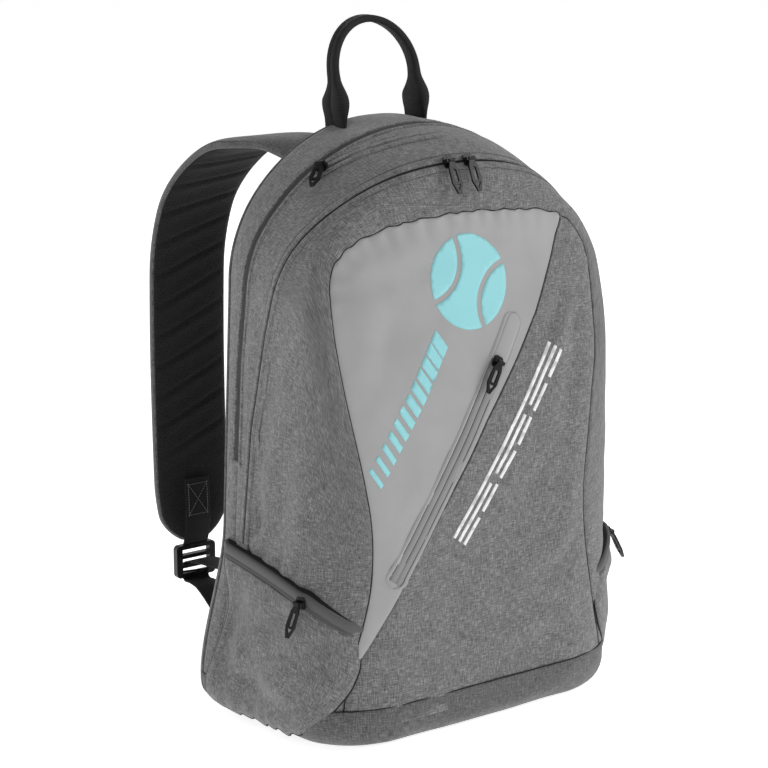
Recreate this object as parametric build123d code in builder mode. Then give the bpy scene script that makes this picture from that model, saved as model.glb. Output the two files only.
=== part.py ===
from build123d import *
import math
import os

# Racket backpack, millimetres. +Z up, the front faces -Y.
# The origin is the centre of the base panel's underside.

os.makedirs("parts", exist_ok=True)

# ---------------------------------------------------------------- driving dimensions
WALL = 3.0                # padded fabric of the bag's shell
TAPE = 1.2                # zip tape and teeth above the fabric
SLIT = 0.4                # half of the gap along a zip, and along the fold of the flaps
BAND_TOP = 34.0           # seam between the bottom band and the bag
FOLD_Z = 128.0            # height of the fold that both flaps turn about
BACK_FACE = 82.0          # y of the back panel's outer face
BACK_SEAM = 75.0          # y where the back panel is sewn to the rear gusset
MAIN_ZIP_END = 217.0      # lower ends of the main zip
FRONT_ZIP_END = 150.0     # lower ends of the front zip
TAPE_WIDTH = 5.5          # each half of a zip
STRAP_WIDTH = 72.0
STRAP_THICK = 12.0
WEBBING = 25.0            # width of the strap webbing
WEBBING_THICK = 1.6
CLEAR = 0.3               # running gap between pieces that move past each other
BOX = 700.0               # larger than the bag, for cutting blocks

# Vertical sections through the bag from the back to the front. Each is an arch with a flat foot:
# y, half width, extra half width at the foot, crown height, shoulder radius, crown radius,
# foot height, foot corner radius, share of an offset that goes sideways, share that goes along y.
SECTIONS = [
    (82, 138, 14, 478, 115, 146, 6, 22, 1.0, -1.0),
    (76, 141, 16, 487, 115, 149, 2, 24, 1.0, -0.3),
    (66, 143, 17, 490, 115, 150, 2, 25, 1.0, 0.0),
    (40, 146, 15, 489, 113, 153, 2, 27, 1.0, 0.0),
    (16, 148, 12, 487, 110, 156, 2, 28, 1.0, 0.0),
    (-10, 150, 10, 481, 105, 162, 2, 30, 1.0, 0.0),
    (-30, 151, 8, 472, 100, 168, 2, 32, 1.0, 0.2),
    (-43, 151, 6, 463, 95, 175, 2, 34, 0.9, 0.4),
    (-56, 147, 4, 424, 85, 195, 3, 36, 0.5, 0.9),
    (-72, 135, 2, 345, 75, 240, 6, 36, 0.5, 0.9),
    (-82, 117, 0, 290, 65, 280, 12, 34, 0.5, 0.9),
    (-88, 92, 0, 235, 55, 300, 26, 30, 1.0, 1.0),
]

# Side-view lines (y, z), from low to high, of the two long zips and of the front panel's seam.
MAIN_ZIP_LINE = [(56, -20), (55, 150), (52, 300), (41, 400), (27, 455), (16, 487), (4, 520)]
SHORT_ZIP_LINE = [(36, 400), (20, 450), (-10, 481), (-30, 500)]
FRONT_ZIP_LINE = [(43, -20), (40, 150), (31, 250), (12, 330), (-12, 400), (-43, 463), (-60, 500)]
FRONT_SEAM_LINE = [(-80, -20), (-76, 112), (-62, 221), (-50, 320), (-45, 396), (-56, 427), (-90, 500)]

# Front view (x, z) of the light panel: across its top seam, down the diagonal and up the left edge.
LIGHT_TOP = [(-132, 396), (-122, 415), (-76, 429), (-11, 432), (57, 425), (104, 414)]
LIGHT_DIAGONAL = [(59, 337), (-1, 258), (-76, 152), (-131, 66)]
LIGHT_LEFT = [(-115, 112), (-103, 181), (-117, 270), (-130, 355)]

# Diagonal pocket on the front: upper and lower ends of its zip (x, z), and the tab over its top.
POCKET_TOP = (16, 306)
POCKET_END = (-95, 140)
POCKET_BAND = 13.0
GARAGE_LENGTH = 34.0

# Side pockets: ends of the zip in side view (y, z), width of the band and how far the pocket bulges.
SIDE_ZIP_REAR = (64, 143)
SIDE_ZIP_FRONT = (-74, 122)
SIDE_BAND = 12.0
SIDE_FOOT = 14.0
# Steps of the pocket's bulge: x, then how far the top, front, rear and foot edges draw in.
POCKET_STEPS = [(138, 0, 0, 0, 0), (158, 4, 14, 1, 1), (170, 20, 34, 8, 8), (176, 34, 52, 22, 20)]

# Shoulder strap stations: x, y, z, direction in side view (degrees from +Y), width, thickness.
STRAP_STATIONS = [
    (50, 83.6, 469, 0, 64, 8),
    (60, 112, 469, -2, 70, STRAP_THICK),
    (74, 145, 463, -18, STRAP_WIDTH, STRAP_THICK),
    (85, 180, 440, -47, STRAP_WIDTH, STRAP_THICK),
    (94, 203, 403, -70, STRAP_WIDTH, STRAP_THICK),
    (98, 212, 350, -84, STRAP_WIDTH, STRAP_THICK),
    (98, 215, 250, -90, STRAP_WIDTH, STRAP_THICK),
    (98, 214, 160, -92, STRAP_WIDTH, STRAP_THICK),
    (98, 212, 122, -94, 66, STRAP_THICK),
    (98, 210, 104, -95, 44, 9),
]
LOCK_CENTRE = (98, 211, 84)           # ladder lock below the strap's tip
LOCK_SIZE = (40, 6, 30)
WEBBING_SPLAY = 14.0                  # degrees that the lower webbing spreads towards its anchor
HANDLE_AXIS = (66, 501)               # y, z of the line that the handle folds about
HANDLE_HALF = 41.0                    # from the middle of the bag to the middle of a leg
HANDLE_TOP = 576.0
HANDLE_WIDTH = 14.0                   # the webbing is folded along its length above the feet
HANDLE_THICK = 5.0


# ---------------------------------------------------------------- helpers
def save(part, label):
    """Name a finished piece and write it as its own node."""
    part.label = label
    export_step(part, f"parts/{label}.step")


def arch_face(section, offset):
    """One section of the bag as a closed arch, grown by offset."""
    y, half, flare, crown, shoulder, crown_r, foot, corner, side_share, depth_share = section
    grow = offset * side_share
    half, crown, foot = half + grow, crown + grow, foot - grow
    shoulder, crown_r, corner = shoulder + grow, crown_r + grow, corner + grow
    rise = crown_r - math.sqrt((crown_r - shoulder) ** 2 - (half - shoulder) ** 2)
    spring = crown - rise
    lean = math.atan2(half - shoulder, crown_r - rise)
    joint_x = crown_r * math.sin(lean)
    joint_z = crown - crown_r + crown_r * math.cos(lean)
    mid = (math.pi / 2 - lean) / 2
    mid_x = half - shoulder + shoulder * math.cos(mid)
    mid_z = spring + shoulder * math.sin(mid)
    wide = half + flare
    low_mid = corner * (1 - math.sqrt(0.5))
    with BuildSketch(Plane.XZ.offset(-y + offset * depth_share)) as outline:
        with BuildLine():
            Line((-wide + corner, foot), (wide - corner, foot))
            ThreePointArc((wide - corner, foot), (wide - low_mid, foot + low_mid), (wide, foot + corner))
            Line((wide, foot + corner), (half, spring))
            ThreePointArc((half, spring), (mid_x, mid_z), (joint_x, joint_z))
            ThreePointArc((joint_x, joint_z), (0, crown), (-joint_x, joint_z))
            ThreePointArc((-joint_x, joint_z), (-mid_x, mid_z), (-half, spring))
            Line((-half, spring), (-wide, foot + corner))
            ThreePointArc((-wide, foot + corner), (-wide + low_mid, foot + low_mid), (-wide + corner, foot))
        make_face()
    return outline.sketch.face()


def bag(offset):
    """The bag's outer form as one solid, grown by offset."""
    with BuildPart() as form:
        loft([arch_face(section, offset) for section in SECTIONS], ruled=True)
    return form.part


def side_block(line, shift, direction):
    """Everything behind a side-view line (direction 1) or in front of it (direction -1)."""
    moved = [(y + shift, z) for y, z in line]
    edge = direction * BOX
    with BuildPart() as block:
        with BuildSketch(Plane.YZ):
            with BuildLine():
                Polyline(*moved, (edge, moved[-1][1]), (edge, moved[0][1]), close=True)
            make_face()
        extrude(amount=BOX, both=True)
    return block.part


def span_block(low=-BOX, high=BOX, y_low=-BOX, y_high=BOX):
    """A block that keeps heights from low to high and depths from y_low to y_high."""
    with BuildPart() as block:
        with Locations((0, (y_low + y_high) / 2, (low + high) / 2)):
            Box(2 * BOX, y_high - y_low, high - low)
    return block.part


def front_block(points):
    """An outline in front view (x, z), as a block in front of the middle of the bag."""
    with BuildPart() as block:
        with BuildSketch(Plane.XZ):
            with BuildLine():
                Polyline(*points, close=True)
            make_face()
        extrude(amount=BOX)
    return block.part


def common(first, *others):
    """What all the given solids share, as one part."""
    with BuildPart() as shared:
        add(first)
        for other in others:
            add(other, mode=Mode.INTERSECT)
    return shared.part


def without(first, *others):
    """The first solid with the others cut away."""
    with BuildPart() as rest:
        add(first)
        for other in others:
            add(other, mode=Mode.SUBTRACT)
    return rest.part


def mirrored(part):
    """The same piece on the other side of the bag."""
    with BuildPart() as other:
        add(mirror(part, about=Plane.YZ, mode=Mode.PRIVATE))
    return other.part


# ---------------------------------------------------------------- shell panels
outer = bag(0)
shell = without(outer, bag(-WALL))
skin = without(bag(TAPE), outer)
above_band = span_block(low=BAND_TOP)
above_fold = span_block(low=FOLD_Z + SLIT)
below_fold = span_block(low=BAND_TOP, high=FOLD_Z - SLIT)
behind_main = side_block(MAIN_ZIP_LINE, SLIT, 1)
ahead_of_main = side_block(MAIN_ZIP_LINE, -SLIT, -1)
behind_front = side_block(FRONT_ZIP_LINE, SLIT, 1)
ahead_of_front = side_block(FRONT_ZIP_LINE, -SLIT, -1)
behind_seam = side_block(FRONT_SEAM_LINE, 0, 1)
ahead_of_seam = side_block(FRONT_SEAM_LINE, 0, -1)
light_outline = front_block(LIGHT_TOP + LIGHT_DIAGONAL + LIGHT_LEFT)

back_panel = common(shell, span_block(low=BAND_TOP, y_low=BACK_SEAM))
rear_gusset = common(shell, span_block(low=BAND_TOP, y_high=BACK_SEAM), behind_main)
bottom_band = common(shell, span_block(high=BAND_TOP))
lower_body = without(common(shell, below_fold, ahead_of_main), light_outline)
light_tip = common(shell, below_fold, light_outline)
main_gusset = common(shell, above_fold, ahead_of_main, behind_front)
front_shell = common(shell, above_fold, ahead_of_front)
front_band = without(common(front_shell, behind_seam), light_outline)
front_panel = without(common(front_shell, ahead_of_seam), light_outline)
light_panel = common(front_shell, light_outline)

save(back_panel, "back_panel")
save(rear_gusset, "rear_gusset")
save(bottom_band, "bottom_band")
save(lower_body, "lower_body")
save(light_tip, "light_panel_tip")
save(main_gusset, "main_gusset")
save(front_band, "front_band")
save(front_panel, "front_panel")
save(light_panel, "light_panel")

# Rigid base panel that the bag stands on.
with BuildPart() as base_panel:
    with BuildSketch():
        RectangleRounded(236, 124, 26)
    extrude(amount=1.9)
save(base_panel.part, "base_panel")

# ---------------------------------------------------------------- inside the bag
DIVIDER_GAP = 2.0
DIVIDER_THICK = 2.0
cavity = bag(-WALL - 0.6)


def divider(low, high):
    """Wall between the racket compartment and the front compartment, from low to high."""
    behind = side_block(FRONT_ZIP_LINE, DIVIDER_GAP, 1)
    ahead = side_block(FRONT_ZIP_LINE, DIVIDER_GAP + DIVIDER_THICK, -1)
    return common(cavity, behind, ahead, span_block(low=low, high=high))


save(divider(FOLD_Z + SLIT, BOX), "divider_upper")
save(divider(-BOX, FOLD_Z - SLIT), "divider_lower")

# Laptop sleeve across the back of the racket compartment, open at its top.
save(common(cavity, span_block(high=276, y_low=63.5, y_high=66)), "laptop_sleeve")

# Bag of the diagonal pocket, hanging behind the front panel.
with BuildPart() as pocket_lining:
    with BuildSketch(Plane.XZ.offset(62)):
        with Locations((-8, 222)):
            RectangleRounded(150, 150, 16)
    extrude(amount=1.2)
save(pocket_lining.part, "diagonal_pocket_lining")

# ---------------------------------------------------------------- zips
above_main_end = span_block(low=MAIN_ZIP_END)
above_front_end = span_block(low=FRONT_ZIP_END)


def zip_half(line, near, far, *limits):
    """Strip of zip tape and teeth beside a side-view line, between two distances from it."""
    low, high = sorted((near, far))
    return common(skin, side_block(line, low, 1), side_block(line, high, -1), *limits)


save(zip_half(MAIN_ZIP_LINE, SLIT, TAPE_WIDTH, above_main_end), "main_zip_rear")
save(zip_half(MAIN_ZIP_LINE, -SLIT, -TAPE_WIDTH, above_main_end), "main_zip_front")
save(zip_half(FRONT_ZIP_LINE, SLIT, TAPE_WIDTH, above_front_end), "front_zip_rear")
save(zip_half(FRONT_ZIP_LINE, -SLIT, -TAPE_WIDTH, above_front_end), "front_zip_front")

SHORT_ZIP_HALF_SPAN = 96.0
with BuildPart() as short_zip_span:
    Box(2 * SHORT_ZIP_HALF_SPAN, BOX, 2 * BOX)
short_zip = common(
    skin,
    side_block(SHORT_ZIP_LINE, -TAPE_WIDTH / 2, 1),
    side_block(SHORT_ZIP_LINE, TAPE_WIDTH / 2, -1),
    short_zip_span.part,
)
save(short_zip, "accessory_zip")


def slanted_block(start, end, width, beyond, plane):
    """A long block centred on the line from start to end, in a plane's own coordinates."""
    dx, dz = end[0] - start[0], end[1] - start[1]
    length = math.hypot(dx, dz) + 2 * beyond
    with BuildPart() as block:
        with BuildSketch(plane):
            with Locations(((start[0] + end[0]) / 2, (start[1] + end[1]) / 2)):
                SlotOverall(length, width, rotation=math.degrees(math.atan2(dz, dx)))
        extrude(amount=BOX)
    return block.part


pocket_strip = slanted_block(POCKET_TOP, POCKET_END, POCKET_BAND, 4, Plane.XZ)
save(common(skin, pocket_strip), "diagonal_zip")

pocket_run = math.dist(POCKET_TOP, POCKET_END)
pocket_up = ((POCKET_TOP[0] - POCKET_END[0]) / pocket_run, (POCKET_TOP[1] - POCKET_END[1]) / pocket_run)
garage_low = (POCKET_TOP[0] + 12 * pocket_up[0], POCKET_TOP[1] + 12 * pocket_up[1])
garage_high = (POCKET_TOP[0] + GARAGE_LENGTH * pocket_up[0], POCKET_TOP[1] + GARAGE_LENGTH * pocket_up[1])
garage_strip = slanted_block(garage_low, garage_high, 18, 0, Plane.XZ)
save(without(common(skin, garage_strip), pocket_strip), "zip_garage")

# ---------------------------------------------------------------- side pockets
SIDE_SKIN_GAP = 0.6
side_skin = without(bag(TAPE + SIDE_SKIN_GAP), bag(SIDE_SKIN_GAP))
side_strip = slanted_block(SIDE_ZIP_REAR, SIDE_ZIP_FRONT, SIDE_BAND, 0, Plane.YZ)
side_zip = common(side_skin, side_strip)
save(side_zip, "side_zip_right")
save(mirrored(side_zip), "side_zip_left")


def pocket_form(inset):
    """Bulging form of a side pocket below its zip."""
    drop = SIDE_BAND / 2 + 1.5 + inset
    rear = (SIDE_ZIP_REAR[0] + 4 - inset, SIDE_ZIP_REAR[1] - drop)
    front = (SIDE_ZIP_FRONT[0] + inset, SIDE_ZIP_FRONT[1] - drop)
    foot = SIDE_FOOT + inset
    with BuildPart() as form:
        for x, top_in, front_in, rear_in, foot_in in POCKET_STEPS:
            with BuildSketch(Plane.YZ.offset(x - inset)):
                with BuildLine():
                    Polyline(
                        (rear[0] - rear_in, rear[1] - top_in),
                        (front[0] + front_in, front[1] - top_in),
                        (front[0] + front_in, foot + foot_in),
                        (rear[0] - rear_in, foot + foot_in),
                        close=True,
                    )
                make_face()
        loft(ruled=True)
    return form.part


side_pocket = without(pocket_form(0), pocket_form(WALL - 0.5), bag(SIDE_SKIN_GAP))
save(side_pocket, "side_pocket_right")
save(mirrored(side_pocket), "side_pocket_left")

# ---------------------------------------------------------------- back padding and yoke
PAD_THICK = 10.0


def back_pad(x, z, width, height, thickness):
    """Foam pad on the back panel, with rounded corners and eased edges."""
    with BuildPart() as pad:
        with BuildSketch(Plane.XZ.offset(-BACK_FACE)):
            with Locations((x, z)):
                RectangleRounded(width, height, 16)
        extrude(amount=-thickness)
        fillet(pad.faces().sort_by(Axis.Y)[-1].edges(), thickness * 0.4)
    return pad.part


save(back_pad(62, 262, 96, 300, PAD_THICK), "back_pad_right")
save(back_pad(-62, 262, 96, 300, PAD_THICK), "back_pad_left")
save(back_pad(0, 75, 200, 62, PAD_THICK), "lumbar_pad")

with BuildPart() as strap_yoke:
    with BuildSketch(Plane.XZ.offset(-BACK_FACE)):
        with BuildLine():
            Polyline((-84, 446), (84, 446), (62, 418), (-62, 418), close=True)
        make_face()
    extrude(amount=-2)
save(strap_yoke.part, "strap_yoke")


# ---------------------------------------------------------------- shoulder straps
def station_plane(station):
    """Plane square to the strap at one of its stations, local x across the strap."""
    x, y, z, lean = station[:4]
    along = (0, math.cos(math.radians(lean)), math.sin(math.radians(lean)))
    return Plane(origin=(x, y, z), x_dir=(1, 0, 0), z_dir=along)


def shoulder_strap():
    """Padded strap from the top seam back and down to its rounded lower end."""
    with BuildPart() as strap:
        for station in STRAP_STATIONS:
            width, thickness = station[4:]
            with BuildSketch(station_plane(station)):
                RectangleRounded(width, thickness, thickness * 0.45)
        loft(ruled=True)
    return strap.part


def ladder_lock():
    """Moulded buckle with three bars that holds the webbing."""
    x, y, z = LOCK_CENTRE
    width, thickness, height = LOCK_SIZE
    bar_gap = 5.0
    with BuildPart() as lock:
        with Locations((x, y, z)):
            Box(width, thickness, height)
        fillet(lock.edges().filter_by(Axis.Y), 4)
        with Locations(*[(x, y, z + rise) for rise in (-8.5, 0, 8.5)]):
            Box(WEBBING + 3, thickness + 2, bar_gap, mode=Mode.SUBTRACT)
        with Locations((x, y + thickness / 2, z - height / 2)):
            Box(WEBBING, 5, 6, mode=Mode.SUBTRACT)
    return lock.part


def webbing_run(points, width, bend, thickness=WEBBING_THICK):
    """Flat webbing along a side-view route of straight runs and round bends."""
    with BuildPart() as webbing:
        with BuildLine(Plane.YZ):
            route = FilletPolyline(*points, radius=bend)
        start = route @ 0
        with BuildSketch(Plane(origin=start, x_dir=(1, 0, 0), z_dir=route % 0)):
            Rectangle(width, thickness)
        sweep()
    return webbing.part


lock_y, lock_z = LOCK_CENTRE[1], LOCK_CENTRE[2]
strap = shoulder_strap()
# Sewn tab on the strap's inner face that carries the lock's top bar.
with BuildPart() as adjuster_tab:
    with Locations((LOCK_CENTRE[0], 201.5, 136)):
        Box(WEBBING, 3, 44)
    with Locations((LOCK_CENTRE[0], 201.5, 108)):
        Box(WEBBING, 2, 16)

lock = ladder_lock()

# The lower webbing ends just short of the lock: the loop of the strap is opened there.
WEBBING_ROUTE = [(88, 48), (128, 63), (170, 71), (lock_y - 3, lock_z - 19)]
lock_upright = Axis((LOCK_CENTRE[0], lock_y, 0), (0, 0, 1))
lower_webbing = webbing_run(WEBBING_ROUTE, WEBBING, 30).moved(Location((LOCK_CENTRE[0], 0, 0)))
lower_webbing = lower_webbing.rotate(lock_upright, WEBBING_SPLAY)
TAIL_ROUTE = [(lock_y - 6, lock_z + 2), (165, 92), (128, 95)]
tail = webbing_run(TAIL_ROUTE, WEBBING - 1, 30).moved(Location((LOCK_CENTRE[0], 0, 0)))

# Triangular wing sewn into the back seam that anchors the webbing.
with BuildPart() as anchor:
    with BuildSketch(Plane.XZ.offset(-BACK_FACE - 0.2)):
        with BuildLine():
            Polyline((150, 64), (150, 28), (108, 34), (108, 62), close=True)
        make_face()
    extrude(amount=-3)

for side, make in (("right", lambda part: part), ("left", mirrored)):
    save(make(strap), f"shoulder_strap_{side}")
    save(make(adjuster_tab.part), f"adjuster_tab_{side}")
    save(make(lock), f"ladder_lock_{side}")
    save(make(lower_webbing), f"lower_webbing_{side}")
    save(make(tail), f"webbing_tail_{side}")
    save(make(anchor.part), f"webbing_anchor_{side}")

# ---------------------------------------------------------------- carry handle
handle_y, handle_z = HANDLE_AXIS
with BuildPart() as handle:
    with BuildSketch(Plane.XZ.offset(-handle_y)):
        with BuildLine():
            leg = HANDLE_HALF + HANDLE_THICK / 2
            arch_z = HANDLE_TOP - leg
            Line((leg, arch_z), (leg, handle_z))
            Line((leg, handle_z), (leg - HANDLE_THICK, handle_z))
            Line((leg - HANDLE_THICK, handle_z), (leg - HANDLE_THICK, arch_z))
            ThreePointArc(
                (leg - HANDLE_THICK, arch_z), (0, HANDLE_TOP - HANDLE_THICK), (HANDLE_THICK - leg, arch_z)
            )
            Line((HANDLE_THICK - leg, arch_z), (HANDLE_THICK - leg, handle_z))
            Line((HANDLE_THICK - leg, handle_z), (-leg, handle_z))
            Line((-leg, handle_z), (-leg, arch_z))
            ThreePointArc((-leg, arch_z), (0, HANDLE_TOP), (leg, arch_z))
        make_face()
    extrude(amount=HANDLE_WIDTH / 2, both=True)
    with BuildSketch(Plane.YZ.offset(-leg)):
        with Locations((handle_y, handle_z)):
            Circle(HANDLE_WIDTH / 2)
    extrude(amount=HANDLE_THICK)
    with BuildSketch(Plane.YZ.offset(leg - HANDLE_THICK)):
        with Locations((handle_y, handle_z)):
            Circle(HANDLE_WIDTH / 2)
    extrude(amount=HANDLE_THICK)
save(handle.part, "carry_handle")

# Flat feet of the handle, sewn to the crown on both sides.
foot_top = handle_z - HANDLE_WIDTH / 2 - CLEAR
with BuildPart() as handle_feet:
    with Locations((HANDLE_HALF, handle_y, 470), (-HANDLE_HALF, handle_y, 470)):
        Box(HANDLE_THICK, 28, 2 * (foot_top - 470))
save(without(handle_feet.part, bag(0.1)), "handle_feet")

# ---------------------------------------------------------------- zip sliders and pulls
PLATE = (9.0, 10.0, 1.6)              # slider's top plate: across, along the pull, thick
BAR_HEIGHT = 5.0                      # bar of the bridge above the zip
BAR_R = 0.9
POST = 1.6
KNUCKLE_R = 1.9
PULL_LENGTH = 28.0
PULL_WIDTH = 9.6
PULL_THICK = 1.8
RIDE = 0.35                           # slider's clearance above the teeth


def unit(vector):
    """The vector at length one."""
    return Vector(*vector).normalized()


def slider_plane(seat, normal, hang):
    """Slider's own plane: origin on the zip, local y the way its pull hangs, local z outwards."""
    out = unit(normal)
    down = unit(hang)
    down = (down - out * down.dot(out)).normalized()
    return Plane(origin=seat, x_dir=down.cross(out), z_dir=out)


def zip_slider(plane):
    """Slider: top plate with a nose, and a bridge whose bar carries the pull."""
    half = PLATE[0] / 2
    with BuildPart() as slider:
        with BuildSketch(plane.offset(RIDE)):
            RectangleRounded(PLATE[0], PLATE[1], 2.5)
        extrude(amount=PLATE[2])
        with BuildSketch(plane.offset(RIDE + PLATE[2] / 2)):
            with Locations((half - POST / 2, 0), (POST / 2 - half, 0)):
                Rectangle(POST, 3)
        extrude(amount=BAR_HEIGHT + BAR_R - RIDE - PLATE[2] / 2)
        bar_plane = Plane(
            origin=plane.from_local_coords((-half + 0.2, 0, BAR_HEIGHT)),
            x_dir=plane.y_dir,
            z_dir=plane.x_dir,
        )
        with BuildSketch(bar_plane):
            Circle(BAR_R)
        extrude(amount=PLATE[0] - 0.4)
    return slider.part


def zip_pull(plane, lift):
    """Die-cast pull: a knuckle round the bar, two rails, a cross bar and a pointed end."""
    tilt = math.radians(lift)
    bar = Plane(
        origin=plane.from_local_coords((0, 0, BAR_HEIGHT)),
        x_dir=plane.x_dir,
        z_dir=plane.z_dir * math.cos(tilt) - plane.y_dir * math.sin(tilt),
    )
    half = PULL_WIDTH / 2
    knuckle = PLATE[0] - 2 * POST - 2 * CLEAR
    with BuildPart() as pull:
        with BuildSketch(bar.offset(-PULL_THICK / 2)):
            with BuildLine():
                Polyline(
                    (-2.4, 1),
                    (2.4, 1),
                    (half - 0.6, 7),
                    (half, PULL_LENGTH - 9),
                    (1.6, PULL_LENGTH),
                    (-1.6, PULL_LENGTH),
                    (-half, PULL_LENGTH - 9),
                    (-half + 0.6, 7),
                    close=True,
                )
            make_face()
            with Locations((0, 13)):
                RectangleRounded(3.8, 11, 1.4, mode=Mode.SUBTRACT)
            with BuildLine():
                Polyline((-3, 20.4), (3, 20.4), (0, 25), close=True)
            make_face(mode=Mode.SUBTRACT)
        extrude(amount=PULL_THICK)
        pin_plane = Plane(
            origin=bar.from_local_coords((-knuckle / 2, 0, 0)), x_dir=bar.y_dir, z_dir=bar.x_dir
        )
        with BuildSketch(pin_plane):
            Circle(KNUCKLE_R)
        extrude(amount=knuckle)
        with BuildSketch(pin_plane):
            Circle(BAR_R + CLEAR)
        extrude(amount=knuckle, mode=Mode.SUBTRACT)
    return pull.part


zip_surface = bag(TAPE)
side_surface = bag(TAPE + SIDE_SKIN_GAP)


def seat_on(surface, through, toward):
    """Point where a line from outside meets a surface: through is a point on the line."""
    start = Vector(*through) + unit(toward) * BOX
    hits = surface.find_intersection_points(Axis(start, -unit(toward)))
    return min((hit[0] for hit in hits), key=lambda point: (point - start).length)


diagonal = Vector(POCKET_END[0] - POCKET_TOP[0], 0, POCKET_END[1] - POCKET_TOP[1]).normalized()
FRONT_SLIDER_X = 10.0
SIDE_SLIDER_Y = -47.0
side_slope = (SIDE_ZIP_FRONT[1] - SIDE_ZIP_REAR[1]) / (SIDE_ZIP_FRONT[0] - SIDE_ZIP_REAR[0])
side_slider_z = SIDE_ZIP_FRONT[1] + side_slope * (SIDE_SLIDER_Y - SIDE_ZIP_FRONT[0])

# name, surface, point on the line to the seat, outward direction, way the pull hangs,
# clearance above the seat, and how far the resting pull is lifted (degrees)
SLIDERS = [
    ("front_left", zip_surface, (-FRONT_SLIDER_X, -43, 463), (0, -0.9, 0.44), (0, -0.44, -0.9), 1.3, 0),
    ("front_right", zip_surface, (FRONT_SLIDER_X, -43, 463), (0, -0.9, 0.44), (0, -0.44, -0.9), 1.3, 0),
    ("accessory", zip_surface, (-88, 15, 454), (-0.5, -0.2, 0.84), (-0.5, -0.45, -0.7), 1.2, 0),
    ("main_upper", zip_surface, (140, 52, 300), (1, 0, 0.04), (0, 0, -1), 0.8, 0),
    ("main_lower", zip_surface, (140, 53.4, 232), (1, 0, 0.04), (0, 0, -1), 0.8, 0),
    ("diagonal", zip_surface, (12, -60, 300), (0, -0.98, 0.18), tuple(diagonal), 1.2, 0),
    ("side_right", side_surface, (140, SIDE_SLIDER_Y, side_slider_z), (1, -0.2, 0), (0, 0, -1), 6.2, 26),
    ("side_left", side_surface, (-140, SIDE_SLIDER_Y, side_slider_z), (-1, -0.2, 0), (0, 0, -1), 6.2, 26),
]

slider_planes = {}
for name, surface, through, outward, hang, ride, lift in SLIDERS:
    plane = slider_plane(seat_on(surface, through, outward), outward, hang).offset(ride - RIDE)
    slider_planes[name] = plane
    save(zip_slider(plane), f"zip_slider_{name}")
    save(zip_pull(plane, lift), f"zip_pull_{name}")
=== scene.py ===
import math

import bmesh
import bpy
import numpy as np
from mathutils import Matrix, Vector
from mathutils.geometry import delaunay_2d_cdt


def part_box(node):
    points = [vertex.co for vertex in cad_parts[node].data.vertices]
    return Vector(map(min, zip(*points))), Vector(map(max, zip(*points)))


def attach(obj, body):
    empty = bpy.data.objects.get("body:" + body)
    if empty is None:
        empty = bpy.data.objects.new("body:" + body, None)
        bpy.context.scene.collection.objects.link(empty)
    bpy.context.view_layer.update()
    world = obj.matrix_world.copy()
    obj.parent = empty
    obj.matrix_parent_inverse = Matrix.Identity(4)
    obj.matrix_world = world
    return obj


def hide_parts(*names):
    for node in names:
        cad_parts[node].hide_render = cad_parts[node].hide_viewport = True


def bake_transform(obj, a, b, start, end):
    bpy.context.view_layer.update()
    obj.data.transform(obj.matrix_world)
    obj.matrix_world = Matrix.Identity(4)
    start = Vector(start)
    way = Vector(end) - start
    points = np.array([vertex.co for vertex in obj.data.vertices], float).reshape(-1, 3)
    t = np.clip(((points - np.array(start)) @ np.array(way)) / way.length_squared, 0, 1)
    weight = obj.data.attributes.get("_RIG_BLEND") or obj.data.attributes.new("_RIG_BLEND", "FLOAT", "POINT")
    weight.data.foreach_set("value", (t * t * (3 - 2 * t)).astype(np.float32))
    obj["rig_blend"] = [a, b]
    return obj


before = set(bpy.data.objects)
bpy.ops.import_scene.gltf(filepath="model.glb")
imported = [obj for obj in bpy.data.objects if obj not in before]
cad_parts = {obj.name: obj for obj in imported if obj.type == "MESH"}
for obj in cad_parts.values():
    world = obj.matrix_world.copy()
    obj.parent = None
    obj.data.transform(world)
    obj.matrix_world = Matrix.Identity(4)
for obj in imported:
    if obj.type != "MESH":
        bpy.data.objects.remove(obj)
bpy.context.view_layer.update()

# Racket backpack. Shapes are worked out in millimetres and written in metres.
MM = 0.001
SHELL = 2.6               # thickness of a padded fabric panel
SPLIT_Z = 150.0           # height where the walls change from one pair of bodies to the next
SPLIT_REACH = 0.9         # how near an edge lies to that height to be its border
BACK_Y = 82.0             # depth of the last section
BACK_SEAM = 75.0          # depth of the seam round the back
BACK_FACE = 83.0          # depth of the back panel's outer face
FRONT_Y = -88.0           # depth of the first section

# Vertical sections of the bag: y, half width, flare at the foot, crown, shoulder radius,
# crown radius, foot height, foot corner radius.
SECTIONS = np.array([
    (-88, 92, 0, 235, 55, 300, 11, 24),
    (-82, 117, 0, 290, 65, 280, 4, 24),
    (-72, 135, 2, 345, 75, 240, 2, 22),
    (-56, 147, 4, 424, 85, 195, 1.5, 20),
    (-43, 151, 6, 463, 95, 175, 1.5, 18),
    (-30, 151, 8, 472, 100, 168, 1.5, 17),
    (-10, 150, 10, 481, 105, 162, 1.5, 17),
    (16, 148, 12, 487, 110, 156, 1.5, 17),
    (40, 146, 15, 489, 113, 153, 1.5, 17),
    (66, 143, 17, 490, 115, 150, 2, 18),
    (76, 141, 16, 487, 115, 149, 3, 19),
    (82, 138, 14, 478, 115, 146, 7, 20),
], float)
# Side-view lines (y, z) of the zips.
MAIN_LINE = np.array([(56, -20), (55, 150), (52, 300), (41, 400), (27, 455), (16, 487), (4, 520)], float)
SHORT_LINE = np.array([(36, 400), (20, 450), (-10, 481), (-30, 500)], float)
FRONT_LINE = np.array([(43, -20), (40, 150), (31, 250), (12, 330), (-12, 400), (-43, 463), (-60, 500)], float)
MAIN_END, FRONT_END, SHORT_HALF = 217.0, 150.0, 96.0
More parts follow.
